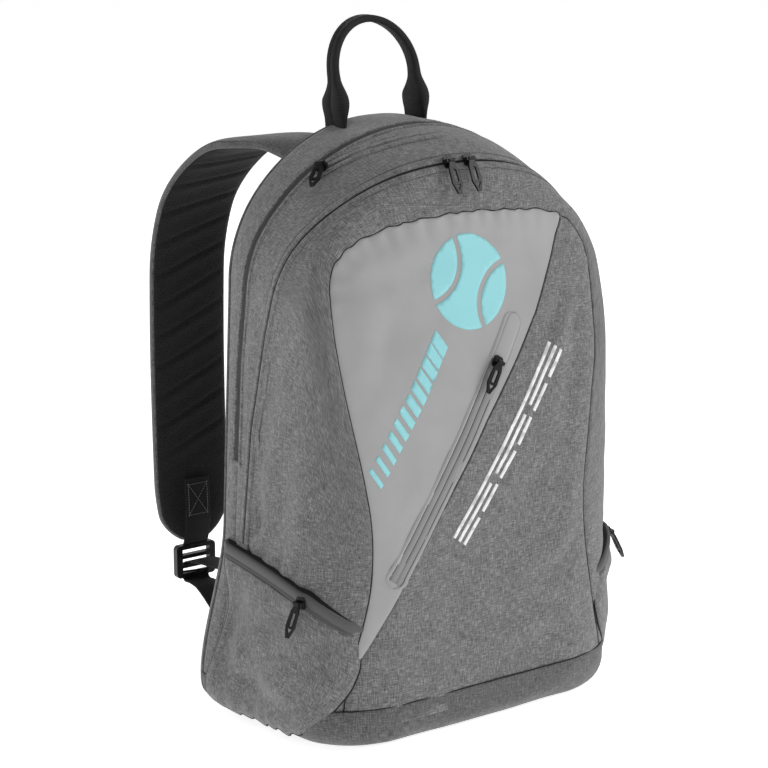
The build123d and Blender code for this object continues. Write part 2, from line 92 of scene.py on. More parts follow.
# Front view (x, z) of the seam round the front panel, and of the light panel's slanting edge.
SEAM_LEFT = [
    (-137, 20), (-134, 50), (-131, 69), (-118, 116), (-113, 148), (-113, 188), (-120, 229),
    (-128, 276), (-133, 323), (-134, 354), (-131, 388),
]
SEAM_TOP = [(-116, 405), (-96, 414), (-73, 420), (-33, 424), (9, 425), (56, 421), (91, 417), (116, 405)]
SEAM_RIGHT = [
    (130, 380), (129, 357), (128, 329), (127, 297), (118, 270), (112, 241), (104, 195),
    (104, 161), (110, 120), (125, 62), (132, 45), (136, 20),
]
LIGHT_EDGE = np.array([(116, 438), (104, 414), (59, 337), (-1, 258), (-76, 152), (-131, 66), (-150, 36)], float)
POCKET_TOP = np.array((16.0, 306.0))
POCKET_END = np.array((-95.0, 140.0))

# Where a point of an arch lies: share of the way from the crown (0) to the middle of the foot (1).
ARCH_STEPS = (0.0, 0.16, 0.36, 0.74, 0.82, 1.0)
LOW_S = 0.765


# ---------------------------------------------------------------- the bag's form
def smooth_step(t):
    """Rises from 0 to 1 with a soft start and end."""
    t = np.clip(t, 0, 1)
    return t * t * (3 - 2 * t)


def hermite(x, xs, ys):
    """Smooth curve through the points that never overshoots them."""
    step = np.diff(xs)
    rise = np.diff(ys) / step
    slope = np.zeros(len(xs))
    same = rise[:-1] * rise[1:] > 0
    w1, w2 = 2 * step[1:] + step[:-1], step[1:] + 2 * step[:-1]
    with np.errstate(divide="ignore", invalid="ignore"):
        mean = (w1 + w2) / (w1 / rise[:-1] + w2 / rise[1:])
    slope[1:-1] = np.where(same, mean, 0)
    slope[0], slope[-1] = rise[0], rise[-1]
    x = np.clip(x, xs[0], xs[-1])
    i = np.clip(np.searchsorted(xs, x, side="right") - 1, 0, len(xs) - 2)
    h = step[i]
    t = (x - xs[i]) / h
    return (
        (1 + 2 * t) * (1 - t) ** 2 * ys[i]
        + t * (1 - t) ** 2 * h * slope[i]
        + t * t * (3 - 2 * t) * ys[i + 1]
        + t * t * (t - 1) * h * slope[i + 1]
    )


def run_length(line):
    """Distance along a polyline, or down each column of a grid, to each of its points."""
    steps = np.linalg.norm(np.diff(line, axis=0), axis=-1)
    return np.concatenate([np.zeros_like(steps[:1]), np.cumsum(steps, axis=0)])


def unit(vectors):
    """The vectors at length 1."""
    return vectors / np.linalg.norm(vectors, axis=-1, keepdims=True)


def closed(line):
    """A polyline with its first point again at its end."""
    return np.vstack([line, line[:1]])


def facing(way, count):
    """One direction for each of a number of points."""
    return np.tile(np.array(way, float), (count, 1))


def smoothed(line, times):
    """A polyline drawn smooth between its ends, which stay."""
    line = line.copy()
    for _ in range(times):
        line[1:-1] = (line[:-2] + 2 * line[1:-1] + line[2:]) / 4
    return line


def section(y):
    """Half width, flare, crown, shoulder radius, crown radius, foot, corner, spring height and lean."""
    half, flare, crown, shoulder, crown_r, foot, corner = (
        hermite(y, SECTIONS[:, 0], SECTIONS[:, k]) for k in range(1, 8)
    )
    rise = crown_r - np.sqrt((crown_r - shoulder) ** 2 - (half - shoulder) ** 2)
    lean = np.arctan2(half - shoulder, crown_r - rise)
    return half, flare, crown, shoulder, crown_r, foot, corner, crown - rise, lean


def belly(y, z):
    """How far the rear of the foot spreads out sideways under its load."""
    return 19 * smooth_step((y - 5) / 70) * smooth_step((155 - z) / 125) * smooth_step((z + 12) / 40)


def skin(y, s):
    """Points of the bag's outer surface at depth y and arch share s, below 0 on the left side."""
    y, s = np.broadcast_arrays(np.asarray(y, float), np.asarray(s, float))
    half, flare, crown, shoulder, crown_r, foot, corner, spring, lean = section(y)
    a = np.abs(s)
    k = [np.clip((a - low) / (high - low), 0, 1) for low, high in zip(ARCH_STEPS, ARCH_STEPS[1:])]
    top = lean * k[0]
    turn = (math.pi / 2 - lean) * (1 - k[1])
    low = -math.pi / 2 * k[3]
    wide = half + flare
    cases = [a < ARCH_STEPS[1], a < ARCH_STEPS[2], a < ARCH_STEPS[3], a < ARCH_STEPS[4]]
    x = np.select(cases, [
        crown_r * np.sin(top),
        half - shoulder + shoulder * np.cos(turn),
        half + flare * k[2],
        wide - corner + corner * np.cos(low),
    ], (wide - corner) * (1 - k[4]))
    z = np.select(cases, [
        crown - crown_r + crown_r * np.cos(top),
        spring + shoulder * np.sin(turn),
        spring + (foot + corner - spring) * k[2],
        foot + corner + corner * np.sin(low),
    ], foot)
    x = x + belly(y, z) * np.where(a < ARCH_STEPS[4], 1, 1 - k[4])
    return np.stack([np.where(s < 0, -x, x), y, z], -1)


def skin_normal(y, s):
    """Outward directions on the bag's outer surface."""
    across = skin(y, s + 0.003) - skin(y, s - 0.003)
    along = skin(np.minimum(y + 1, BACK_Y), s) - skin(np.maximum(y - 1, FRONT_Y), s)
    normal = np.cross(across, along)
    return normal / np.maximum(np.linalg.norm(normal, axis=-1, keepdims=True), 1e-9)


def gap(x, y, z):
    """How far a point lies outside the arch at depth y, below 0 inside."""
    half, flare, crown, shoulder, crown_r, foot, corner, spring, lean = section(y)
    ax = np.maximum(np.abs(x) - belly(y, z), 0)
    round_side = np.hypot(ax - (half - shoulder), z - spring) - shoulder
    round_top = np.hypot(ax, z - (crown - crown_r)) - crown_r
    angle = np.arctan2(ax, z - (crown - crown_r))
    upper = np.where(angle <= lean, round_top, round_side)
    slant = np.clip((spring - z) / np.maximum(spring - foot - corner, 1), 0, 1)
    side = ax - (half + flare * slant)
    wide = half + flare
    in_corner = (ax > wide - corner) & (z < foot + corner)
    round_foot = np.hypot(ax - (wide - corner), z - (foot + corner)) - corner
    lower = np.where(in_corner, round_foot, np.maximum(side, foot - z))
    return np.where(z >= spring, upper, lower)


def front_depth(x, z):
    """Depth y of the front face at (x, z), swelling a little past the last section."""
    x, z = np.broadcast_arrays(np.asarray(x, float), np.asarray(z, float))
    low, high = np.full(x.shape, FRONT_Y), np.full(x.shape, 10.0)
    for _ in range(26):
        mid = (low + high) / 2
        out = gap(x, mid, z) > 0
        low, high = np.where(out, mid, low), np.where(out, high, mid)
    inner = gap(x, np.full(x.shape, FRONT_Y), z)
    swell = 0.8 * (1 - np.exp(np.minimum(inner, 0) / 14))
    return np.where(inner < 0, FRONT_Y - swell, high)


def front_normal(x, z):
    """Outward directions on the front face."""
    step = 0.8
    dx = (front_depth(x + step, z) - front_depth(x - step, z)) / (2 * step)
    dz = (front_depth(x, z + step) - front_depth(x, z - step)) / (2 * step)
    normal = np.stack([dx, -np.ones_like(dx), dz], -1)
    return normal / np.linalg.norm(normal, axis=-1, keepdims=True)


def side_x(y, z):
    """Half width of the bag at depth y and height z."""
    half, flare, _, shoulder, _, foot, corner, spring, _ = section(y)
    slant = np.clip((spring - z) / (spring - foot - corner), 0, 1)
    over = np.clip(z - spring, 0, shoulder)
    side = half + flare * slant - (shoulder - np.sqrt(np.maximum(shoulder**2 - over**2, 0)))
    under = np.clip(foot + corner - z, 0, corner)
    return side - (corner - np.sqrt(np.maximum(corner**2 - under**2, 0))) + belly(y, z)


def share_at(y, z):
    """Arch share of the point of the straight side at height z."""
    *_, foot, corner, spring, _ = section(y)
    k = (spring - z) / (spring - foot - corner)
    return ARCH_STEPS[2] + (ARCH_STEPS[3] - ARCH_STEPS[2]) * k


def line_depth(line, s):
    """Depth y at which a side-view line meets the arch share s."""
    low, high = np.full(np.shape(s), -86.0), np.full(np.shape(s), 80.0)
    for _ in range(24):
        mid = (low + high) / 2
        ahead = mid < np.interp(skin(mid, s)[..., 2], line[:, 1], line[:, 0])
        low, high = np.where(ahead, mid, low), np.where(ahead, high, mid)
    return (low + high) / 2


def ripples(p, wavelength, seed):
    """Smooth repeatable undulation of about -1 to 1 over points p."""
    rng = np.random.default_rng(seed)
    total = np.zeros(p.shape[:-1])
    for _ in range(8):
        way = unit(rng.normal(size=3))
        total += np.sin(p @ way * 2 * math.pi / (wavelength * rng.uniform(0.7, 1.5)) + rng.uniform(0, 6.3))
    return total / 3


def segment_distance(p, line):
    """Distance of 2D points from a polyline, and the length run along it to the nearest point."""
    best, run_at, run = np.full(len(p), 1e9), np.zeros(len(p)), 0.0
    for a, b in zip(line, line[1:]):
        d = b - a
        length = math.hypot(*d)
        t = np.clip(((p - a) @ d) / length**2, 0, 1)
        dist = np.linalg.norm(p - a - t[:, None] * d, axis=1)
        closer = dist < best
        best, run_at = np.where(closer, dist, best), np.where(closer, run + t * length, run_at)
        run += length
    return best, run_at


def in_polygon(p, polygon):
    """Which 2D points lie inside a polygon."""
    inside = np.zeros(len(p), bool)
    for (x0, z0), (x1, z1) in zip(polygon, np.roll(polygon, -1, axis=0)):
        if z0 == z1:
            continue
        crosses = (p[:, 1] < z0) != (p[:, 1] < z1)
        inside ^= crosses & (p[:, 0] < (x1 - x0) * (p[:, 1] - z0) / (z1 - z0) + x0)
    return inside


def rounded(line):
    """A polyline with its corners cut three times over, its ends kept."""
    for _ in range(3):
        near, far = line[:-1] * 0.75 + line[1:] * 0.25, line[:-1] * 0.25 + line[1:] * 0.75
        cut = np.stack([near, far], 1).reshape(-1, 2)
        line = np.vstack([line[:1], cut, line[-1:]])
    return line


FRONT_OUTLINE = rounded(np.array(SEAM_LEFT + SEAM_TOP + SEAM_RIGHT, float))
# The top seam wavers a little where the coated fabric is gathered into it.
outline_run = run_length(FRONT_OUTLINE)
waver = 0.9 * np.sin(outline_run / 3.1 + 1.3 * np.sin(outline_run / 9))
FRONT_OUTLINE[:, 1] += waver * smooth_step((FRONT_OUTLINE[:, 1] - 380) / 25)


# ---------------------------------------------------------------- mesh helpers
def make(name, verts, faces, materials, body=None, slots=None, cloth=None):
    """A mesh object from millimetre points. cloth holds each point's place on the flat fabric."""
    mesh = bpy.data.meshes.new(name)
    mesh.from_pydata([tuple(v) for v in np.asarray(verts) * MM], [], [tuple(map(int, f)) for f in faces])
    for material in materials:
        mesh.materials.append(material)
    if slots is not None:
        mesh.polygons.foreach_set("material_index", np.asarray(slots, np.int32))
    mesh.polygons.foreach_set("use_smooth", np.ones(len(mesh.polygons), bool))
    ends = np.zeros(2 * len(mesh.edges), np.int32)
    mesh.edges.foreach_get("vertices", ends)
    height = np.asarray(verts, float)[ends.reshape(-1, 2), 2]
    at_split = np.abs(height - SPLIT_Z).max(1) < SPLIT_REACH
    mesh.edges.foreach_set("use_edge_sharp", at_split & bool(slots is not None))
    attribute = mesh.attributes.new("cloth", "FLOAT_VECTOR", "POINT")
    flat = np.asarray(verts if cloth is None else cloth, float)
    attribute.data.foreach_set("vector", (flat * MM).astype(np.float32).ravel())
    obj = bpy.data.objects.new(name, mesh)
    bpy.context.scene.collection.objects.link(obj)
    if body:
        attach(obj, body)
    return obj


def grid_faces(rows, columns, wrap=False):
    """Quads of a grid of points, row by row; wrap joins the last column to the first."""
    faces = []
    for r in range(rows - 1):
        for c in range(columns if wrap else columns - 1):
            d = (c + 1) % columns
            faces.append((r * columns + c, r * columns + d, (r + 1) * columns + d, (r + 1) * columns + c))
    return faces


def thicken(points, normals, faces, thickness=SHELL):
    """Closed shell from an outer surface: points, faces and a 1 for each face that is lining."""
    n = len(points)
    verts = np.vstack([points, points - normals * thickness])
    used = {}
    for face in faces:
        for a, b in zip(face, face[1:] + face[:1]):
            key = (min(a, b), max(a, b))
            used[key] = None if key in used else (a, b)
    rim = [(b, a, a + n, b + n) for a, b in (e for e in used.values() if e)]
    inner = [tuple(i + n for i in reversed(face)) for face in faces]
    marks = [0] * len(faces) + [1] * len(inner) + [0] * len(rim)
    return verts, list(faces) + inner + rim, marks


def outward(points, normals, faces):
    """The faces, turned round if they look against the normals."""
    a, b, c = (np.array([points[f[k]] for f in faces]) for k in range(3))
    facing = np.einsum("ij,ij->i", np.cross(b - a, c - a), np.array([normals[f[0]] for f in faces]))
    return [tuple(reversed(f)) if d < 0 else tuple(f) for f, d in zip(faces, facing)]


def panel(name, points, normals, faces, materials, cloth, body=None, slot=None, thickness=SHELL):
    """A fabric panel as a closed shell with its lining inside."""
    faces = outward(points, normals, [tuple(f) for f in faces])
    verts, shell_faces, marks = thicken(points, normals, faces, thickness)
    return make(name, verts, shell_faces, materials, body, marks, np.vstack([cloth, cloth]))


def frames(path, normals):
    """Unit directions along a path and across it."""
    along = unit(np.gradient(path, axis=0))
    across = unit(np.cross(normals, along))
    return along, across


def resample(path, normals, step):
    """The path again, with points a given step apart."""
    run = run_length(path)
    at = np.linspace(0, run[-1], max(2, int(round(run[-1] / step)) + 1))
    new = np.stack([np.interp(at, run, path[:, k]) for k in range(3)], 1)
    up = np.stack([np.interp(at, run, normals[:, k]) for k in range(3)], 1)
    return new, up / np.linalg.norm(up, axis=1, keepdims=True), at


def swept(path, normals, profile, loop=False):
    """Points, faces and cloth places of a closed profile of (across, up) swept along a path."""
    _, across = frames(path, normals)
    profile = np.broadcast_to(np.asarray(profile, float), (len(path), *np.shape(profile)[-2:]))
    verts = path[:, None] + across[:, None] * profile[..., :1] + normals[:, None] * profile[..., 1:]
    rows, columns = verts.shape[:2]
    verts = verts.reshape(-1, 3)
    faces = grid_faces(rows, columns, wrap=True)
    if loop:
        last = (rows - 1) * columns
        faces += [(last + c, last + (c + 1) % columns, (c + 1) % columns, c) for c in range(columns)]
    else:
        faces += [tuple(range(columns)), tuple(range((rows - 1) * columns, rows * columns))[::-1]]
    run = run_length(path)
    girth = run_length(profile[0])
    cloth = np.stack(np.broadcast_arrays(run[:, None], girth[None, :], 0 * run[:, None]), -1).reshape(-1, 3)
    return verts, faces, cloth


def fix_normals(obj):
    """Turns every face of a closed mesh outwards."""
    bm = bmesh.new()
    bm.from_mesh(obj.data)
    bmesh.ops.recalc_face_normals(bm, faces=bm.faces)
    bm.to_mesh(obj.data)
    bm.free()
    return obj


def sweep(name, path, normals, profile, material, body=None, loop=False):
    """A strip, piping or webbing as one closed swept piece."""
    verts, faces, cloth = swept(path, normals, profile, loop)
    return fix_normals(make(name, verts, faces, [material], body, None, cloth))


def bead_mesh(path, normals, pitch, size, offsets, stagger=0.0):
    """Rows of small rounded blocks along a path, as zip teeth or stitches.
    size is (along, across, up); offsets lists (across, up) for each row."""
    path, normals, _ = resample(path, normals, pitch)
    along, across = frames(path, normals)
    shape = []
    for u, shrink in ((-0.5, 0.55), (-0.28, 1.0), (0.28, 1.0), (0.5, 0.55)):
        for a, h in ((-0.5, 0), (-0.5, 0.55), (-0.2, 1), (0.2, 1), (0.5, 0.55), (0.5, 0)):
            shape.append((u, a * shrink, h * shrink))
    shape = np.array(shape) * np.array(size)
    block_faces = grid_faces(4, 6, wrap=True) + [tuple(range(6))[::-1], tuple(range(18, 24))]
    verts, faces = [], []
    for row, (shift, lift) in enumerate(offsets):
        centres = path + across * shift + normals * lift + along * (stagger * pitch * (row % 2))
        block = (
            centres[:, None]
            + along[:, None] * shape[None, :, :1]
            + across[:, None] * shape[None, :, 1:2]
            + normals[:, None] * shape[None, :, 2:]
        )
        for k in range(len(centres)):
            base = len(verts) * 24
            verts.append(block[k])
            faces.extend(tuple(i + base for i in f) for f in block_faces)
    return np.concatenate(verts), faces


def beads(name, path, normals, material, body, pitch, size, offsets, stagger=0.0):
    """Rows of teeth or stitches as one piece."""
    verts, faces = bead_mesh(path, normals, pitch, size, offsets, stagger)
    return fix_normals(make(name, verts, faces, [material], body, None, None))


SIDES = {"left": -1, "right": 1}


def make_pair(name, verts, faces, materials, body=None, marks=None, cloth=None):
    """The same piece on both sides of the bag, the left one mirrored. body may hold {side}."""
    pair = {}
    for side, sign in SIDES.items():
        placed = np.asarray(verts, float) * np.array([sign, 1, 1])
        on_body = body.format(side=side) if body else None
        pair[side] = fix_normals(make(f"{name}_{side}", placed, faces, materials, on_body, marks, cloth))
    return pair


def sweep_pair(name, path, normals, profile, material, body=None):
    """A swept strip on both sides of the bag."""
    verts, faces, cloth = swept(path, normals, profile)
    return make_pair(name, verts, faces, [material], body, None, cloth)


def bead_pair(name, path, normals, material, body, pitch, size, offsets, stagger=0.0):
    """Rows of teeth or stitches on both sides of the bag."""
    verts, faces = bead_mesh(path, normals, pitch, size, offsets, stagger)
    return make_pair(name, verts, faces, [material], body, None, None)


# ---------------------------------------------------------------- materials
def material(name, colour, rough, **sockets):
    """A new material and its node helpers, with plain sockets set on the shader."""
    m = bpy.data.materials.new(name)
    m.use_nodes = True
    shader = m.node_tree.nodes["Principled BSDF"]
    shader.inputs["Base Color"].default_value = (*colour, 1)
    shader.inputs["Roughness"].default_value = rough
    for socket, value in sockets.items():
        shader.inputs[socket.replace("_", " ")].default_value = value
    return m, shader


def node(m, kind, **settings):
    """A new node of material m."""
    n = m.node_tree.nodes.new(kind)
    for key, value in settings.items():
        setattr(n, key, value)
    return n


def link(m, a, b):
    """Joins two sockets."""
    m.node_tree.links.new(a, b)


def cloth_vector(m, scale):
    """The piece's place on its flat fabric, scaled to cells per metre."""
    place = node(m, "ShaderNodeAttribute", attribute_name="cloth")
    mapping = node(m, "ShaderNodeMapping")
    mapping.inputs["Scale"].default_value = scale
    link(m, place.outputs["Vector"], mapping.inputs["Vector"])
    return mapping.outputs["Vector"]


def noise(m, vector, scale, detail=2.0, rough=0.5):
    """Output of a noise texture."""
    n = node(m, "ShaderNodeTexNoise")
    n.inputs["Scale"].default_value = scale
    n.inputs["Detail"].default_value = detail
    n.inputs["Roughness"].default_value = rough
    link(m, vector, n.inputs["Vector"])
    return n.outputs["Fac"]


def maths(m, kind, a, b):
    """Output of one sum; a and b are sockets or numbers."""
    n = node(m, "ShaderNodeMath", operation=kind)
    for socket, value in zip(n.inputs, (a, b)):
        if isinstance(value, (int, float)):
            socket.default_value = value
        else:
            link(m, value, socket)
    return n.outputs[0]


def ramp(m, value, stops):
    """Colour output of a ramp with the given (place, colour) stops."""
    n = node(m, "ShaderNodeValToRGB")
    while len(n.color_ramp.elements) < len(stops):
        n.color_ramp.elements.new(0.5)
    for element, (at, colour) in zip(n.color_ramp.elements, stops):
        element.position = at
        element.color = (*colour, 1)
    link(m, value, n.inputs["Fac"])
    return n.outputs["Color"]


def bump(m, shader, height, distance, strength=1.0):
    """Makes a height socket shape the light on the surface."""
    n = node(m, "ShaderNodeBump")
    n.inputs["Distance"].default_value = distance
    n.inputs["Strength"].default_value = strength
    link(m, height, n.inputs["Height"])
    link(m, n.outputs["Normal"], shader.inputs["Normal"])
    return n


def wave(m, vector, scale, direction, distortion=0.0):
    """Output of a banded wave texture."""
    n = node(m, "ShaderNodeTexWave", wave_type="BANDS", bands_direction=direction, wave_profile="SIN")
    n.inputs["Scale"].default_value = scale
    n.inputs["Distortion"].default_value = distortion
    link(m, vector, n.inputs["Vector"])
    return n.outputs["Fac"]


def grey(level):
    """An even grey."""
    return (level, level, level)


def heather(name, dark, mid, light):
    """Melange plain weave: two-tone yarns that run both ways, with slubs and a fuzzy surface."""
    m, shader = material(name, mid, 0.92, Sheen_Weight=0.25, Sheen_Roughness=0.6)
    warp = noise(m, cloth_vector(m, (1300, 130, 1300)), 1.0, 2.0, 0.6)
    weft = noise(m, cloth_vector(m, (130, 1300, 130)), 1.0, 2.0, 0.6)
    slub = noise(m, cloth_vector(m, (1, 1, 1)), 420.0, 2.0, 0.55)
    cloud = noise(m, cloth_vector(m, (1, 1, 1)), 60.0, 3.0, 0.6)
    yarn = maths(m, "ADD", maths(m, "MULTIPLY", warp, 0.42), maths(m, "MULTIPLY", weft, 0.42))
    mixed = maths(m, "ADD", yarn, maths(m, "MULTIPLY", slub, 0.16))
    mixed = maths(m, "ADD", mixed, maths(m, "MULTIPLY", maths(m, "SUBTRACT", cloud, 0.5), 0.10))
    colour = ramp(m, mixed, [(0.36, dark), (0.50, mid), (0.64, light)])
    link(m, colour, shader.inputs["Base Color"])
    threads = maths(
        m, "MULTIPLY",
        wave(m, cloth_vector(m, (1, 1, 1)), 340.0, "X", 0.6),
        wave(m, cloth_vector(m, (1, 1, 1)), 340.0, "Y", 0.6),
    )
    relief = maths(m, "ADD", maths(m, "MULTIPLY", threads, 0.6), maths(m, "MULTIPLY", slub, 0.8))
    bump(m, shader, relief, 0.00035, 0.7)
    return m


def coated(name, colour, rough):
    """Smooth coated fabric with a faint emboss and soft blotches of wear."""
    m, shader = material(name, colour, rough, Specular_IOR_Level=0.35, Sheen_Weight=0.08)
    cloud = noise(m, cloth_vector(m, (1, 1, 1)), 22.0, 4.0, 0.55)
    low = tuple(c * 0.95 for c in colour)
    high = tuple(min(1, c * 1.06) for c in colour)
    link(m, ramp(m, cloud, [(0.3, low), (0.5, colour), (0.72, high)]), shader.inputs["Base Color"])
    fine = noise(m, cloth_vector(m, (1, 1, 1)), 1400.0, 2.0, 0.6)
    link(m, maths(m, "ADD", maths(m, "MULTIPLY", cloud, 0.16), rough - 0.08), shader.inputs["Roughness"])
    bump(m, shader, maths(m, "ADD", fine, maths(m, "MULTIPLY", cloud, 2.0)), 0.00012, 0.6)
    return m


def ribbed(name, dark, light, ribs, rough=0.7):
    """Woven webbing: ribs across the tape, fine yarns along it."""
    m, shader = material(name, dark, rough, Sheen_Weight=0.03, Specular_IOR_Level=0.3)
    band = wave(m, cloth_vector(m, (1, 1, 1)), ribs, "X", 0.4)
    yarn = wave(m, cloth_vector(m, (1, 1, 1)), ribs * 1.7, "Y", 1.2)
    fuzz = noise(m, cloth_vector(m, (1, 1, 1)), 900.0, 3.0, 0.6)
    both = maths(m, "ADD", maths(m, "MULTIPLY", band, 0.5), maths(m, "MULTIPLY", yarn, 0.25))
    both = maths(m, "ADD", both, maths(m, "MULTIPLY", fuzz, 0.35))
    link(m, ramp(m, both, [(0.25, dark), (0.85, light)]), shader.inputs["Base Color"])
    bump(m, shader, both, 0.0005, 0.8)
    return m


def spacer_mesh(name, dark, light, cell):
    """Air mesh: small open cells in a springy knit."""
    m, shader = material(name, dark, 0.85, Sheen_Weight=0.03)
    cells = node(m, "ShaderNodeTexVoronoi", feature="DISTANCE_TO_EDGE")
    cells.inputs["Scale"].default_value = cell
    link(m, cloth_vector(m, (1, 1, 1)), cells.inputs["Vector"])
    wall = ramp(m, cells.outputs["Distance"], [(0.08, grey(1)), (0.30, grey(0))])
    fuzz = noise(m, cloth_vector(m, (1, 1, 1)), 700.0, 2.0, 0.5)
    tone = maths(m, "ADD", maths(m, "MULTIPLY", wall, 0.6), maths(m, "MULTIPLY", fuzz, 0.4))
    link(m, ramp(m, tone, [(0.15, dark), (0.95, light)]), shader.inputs["Base Color"])
    bump(m, shader, wall, 0.0006, 0.8)
    return m


def moulded(name, colour, rough, grain=600.0, shine=0.5):
    """Moulded plastic or die-cast metal with a fine grain and handling wear."""
    m, shader = material(name, colour, rough, Specular_IOR_Level=shine)
    place = node(m, "ShaderNodeTexCoord").outputs["Object"]
    fine = noise(m, place, grain, 3.0, 0.6)
    broad = noise(m, place, 90.0, 3.0, 0.6)
    low = tuple(c * 0.75 for c in colour)
    high = tuple(min(1, c * 1.5 + 0.01) for c in colour)
    link(m, ramp(m, broad, [(0.3, low), (0.5, colour), (0.75, high)]), shader.inputs["Base Color"])
    link(m, maths(m, "ADD", maths(m, "MULTIPLY", fine, 0.2), rough - 0.1), shader.inputs["Roughness"])
    bump(m, shader, fine, 0.00008, 0.6)
    return m


def printed(name, colour, rough):
    """Screen print: an even ink film that lets a trace of the cloth through."""
    m, shader = material(name, colour, rough, Specular_IOR_Level=0.4)
    fine = noise(m, cloth_vector(m, (1, 1, 1)), 900.0, 3.0, 0.6)
    low = tuple(c * 0.94 for c in colour)
    link(m, ramp(m, fine, [(0.3, low), (0.6, colour)]), shader.inputs["Base Color"])
    bump(m, shader, fine, 0.0001, 0.6)
    return m


HEATHER = heather("heather_grey", grey(0.038), grey(0.140), grey(0.31))
HEATHER_STRAP = heather("heather_strap", grey(0.030), grey(0.100), grey(0.21))
HEATHER_DARK = heather("heather_foot", grey(0.026), grey(0.088), grey(0.20))
COATED = coated("coated_grey", grey(0.355), 0.50)
COATED_DARK = coated("coated_tape", grey(0.245), 0.55)
TEAL = printed("teal_print", (0.30, 0.68, 0.72), 0.5)
WHITE = printed("white_print", (0.88, 0.88, 0.88), 0.5)
WEBBING = ribbed("webbing_black", grey(0.003), grey(0.014), 260.0)
BINDING = ribbed("binding_black", grey(0.003), grey(0.012), 420.0)
MESH = spacer_mesh("air_mesh_black", grey(0.002), grey(0.010), 420.0)
LINING = ribbed("lining_grey", grey(0.02), grey(0.05), 600.0, 0.6)
TAPE_SIDE = coated("side_zip_tape", grey(0.085), 0.6)
TAPE_GREY = ribbed("zip_tape_grey", grey(0.03), grey(0.09), 500.0, 0.7)
# Black zip tape. The same material also paints shade: the slit and grooves of the diagonal pocket, and the shadow
# line above the side zip bands.
TAPE_BLACK_AND_PAINTED_SHADE = ribbed("zip_tape_black_and_painted_shade", grey(0.004), grey(0.014), 500.0, 0.8)
TEETH = moulded("zip_teeth", grey(0.02), 0.4)
TEETH_GREY = moulded("zip_teeth_grey", grey(0.05), 0.45)
THREAD = ribbed("thread_grey", grey(0.05), grey(0.12), 900.0, 0.8)
THREAD_LIGHT = ribbed("thread_light", grey(0.22), grey(0.36), 900.0, 0.7)
THREAD_BLACK = ribbed("thread_black", grey(0.006), grey(0.02), 900.0, 0.7)
METAL = moulded("gunmetal", grey(0.006), 0.36, 900.0, 0.25)
PLASTIC = moulded("acetal_black", grey(0.008), 0.42)
BOARD = moulded("base_board", grey(0.02), 0.6)


# ---------------------------------------------------------------- crumple of the fabric
# Slack folds on each side wall above its pocket: y, z, direction in degrees, half length, half width, depth.
SIDE_FOLDS = [
    (30, 158, -66, 34, 6, -2.2), (14, 146, -58, 30, 5, -2.0), (-4, 138, -62, 30, 6, -1.8),
    (-24, 134, -50, 26, 5, -1.7), (-46, 128, -44, 24, 5, -1.5), (22, 205, -78, 44, 8, -1.5),
    (-20, 210, -72, 46, 10, -1.3), (2, 290, -80, 50, 10, -0.9), (-50, 170, -64, 34, 7, -1.2),
]
# Soft folds of the front face: x, z, direction, half length, half width, depth.
FRONT_FOLDS = [
    (100, 300, 74, 55, 9, -1.7), (84, 340, 55, 34, 8, -1.2), (112, 220, 84, 60, 8, -1.4),
    (70, 120, 20, 55, 10, -1.0), (20, 90, 8, 70, 10, -0.9), (95, 150, 70, 44, 8, -1.2),
    (-20, 60, -6, 70, 9, -0.9), (60, 60, 12, 50, 8, -0.9), (-60, 385, 12, 50, 9, -0.9),
    (30, 400, -8, 55, 8, -0.9), (-90, 330, 60, 40, 10, -0.8), (48, 200, 60, 50, 12, -0.8),
]


def folds(a, b, creases, wobble):
    """Depth of a set of soft creases at places (a, b)."""
    total = np.zeros(a.shape)
    for ca, cb, angle, half, width, depth in creases:
        c, s = math.cos(math.radians(angle)), math.sin(math.radians(angle))
        u = (a - ca) * c + (b - cb) * s
        v = -(a - ca) * s + (b - cb) * c + wobble * 2.5
        ridge = np.exp(-((v / width) ** 2)) - 0.55 * np.exp(-(((v - 1.9 * width) / width) ** 2))
        total += depth * ridge * np.exp(-((u / half) ** 2))
    return total


PULLS = np.array([
    np.mean(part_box(f"zip_pull_{n}"), axis=0) / MM
    for n in ("front_left", "front_right", "accessory", "main_upper", "main_lower", "diagonal")
])


def under_pulls(p):
    """1 where a zip pull lies on the fabric, falling to 0 around it."""
    return sum(np.exp(-(((p - place) ** 2).sum(-1) / 15.0**2)) for place in PULLS)


# Ends of the side pocket zips (y, z), and where their sliders rest.
ZIP_REAR, ZIP_FRONT, PARK_Y = (64.0, 143.0), (-74.0, 122.0), -47.0


def zip_height(y):
    """Height of a side pocket's zip: bowed above its slider's straight run, falling away at the front."""
    rise = (y - ZIP_FRONT[0]) / (ZIP_REAR[0] - ZIP_FRONT[0])
    bow = 3.0 * np.sin(math.pi * np.clip(rise, 0, 1))
    fall = 21 * np.clip((PARK_Y - 2 - y) / 31, 0, 2) ** 1.35
    return ZIP_FRONT[1] + rise * (ZIP_REAR[1] - ZIP_FRONT[1]) + bow - fall


def crumple(p):
    """How far the slack fabric lies off the even form, pressed flat under the zip pulls."""
    pressed = np.clip(under_pulls(p), 0, 1)
    return slack_of(p) * (1 - pressed) - 1.6 * pressed


def slack_of(p):
    """Folds and undulation of the slack fabric."""
    d = 1.0 * ripples(p, 130, 3) + 0.4 * ripples(p, 46, 5)
    wall = smooth_step((np.abs(p[..., 0]) - 112) / 22)
    wobble = ripples(p, 60, 8)
    calm = 1 - wall * np.exp(-(((p[..., 2] - zip_height(p[..., 1]) - 2) / 9) ** 2))
    mirror = np.where(p[..., 0] < 0, 2.5, 2.0)
    d = d + wall * mirror * folds(p[..., 1], p[..., 2] + np.where(p[..., 0] < 0, 0, 9), SIDE_FOLDS, wobble)
    d = d * calm
    face = smooth_step((-46 - p[..., 1]) / 14)
    return d + 1.5 * face * folds(p[..., 0], p[..., 2], FRONT_FOLDS, wobble)


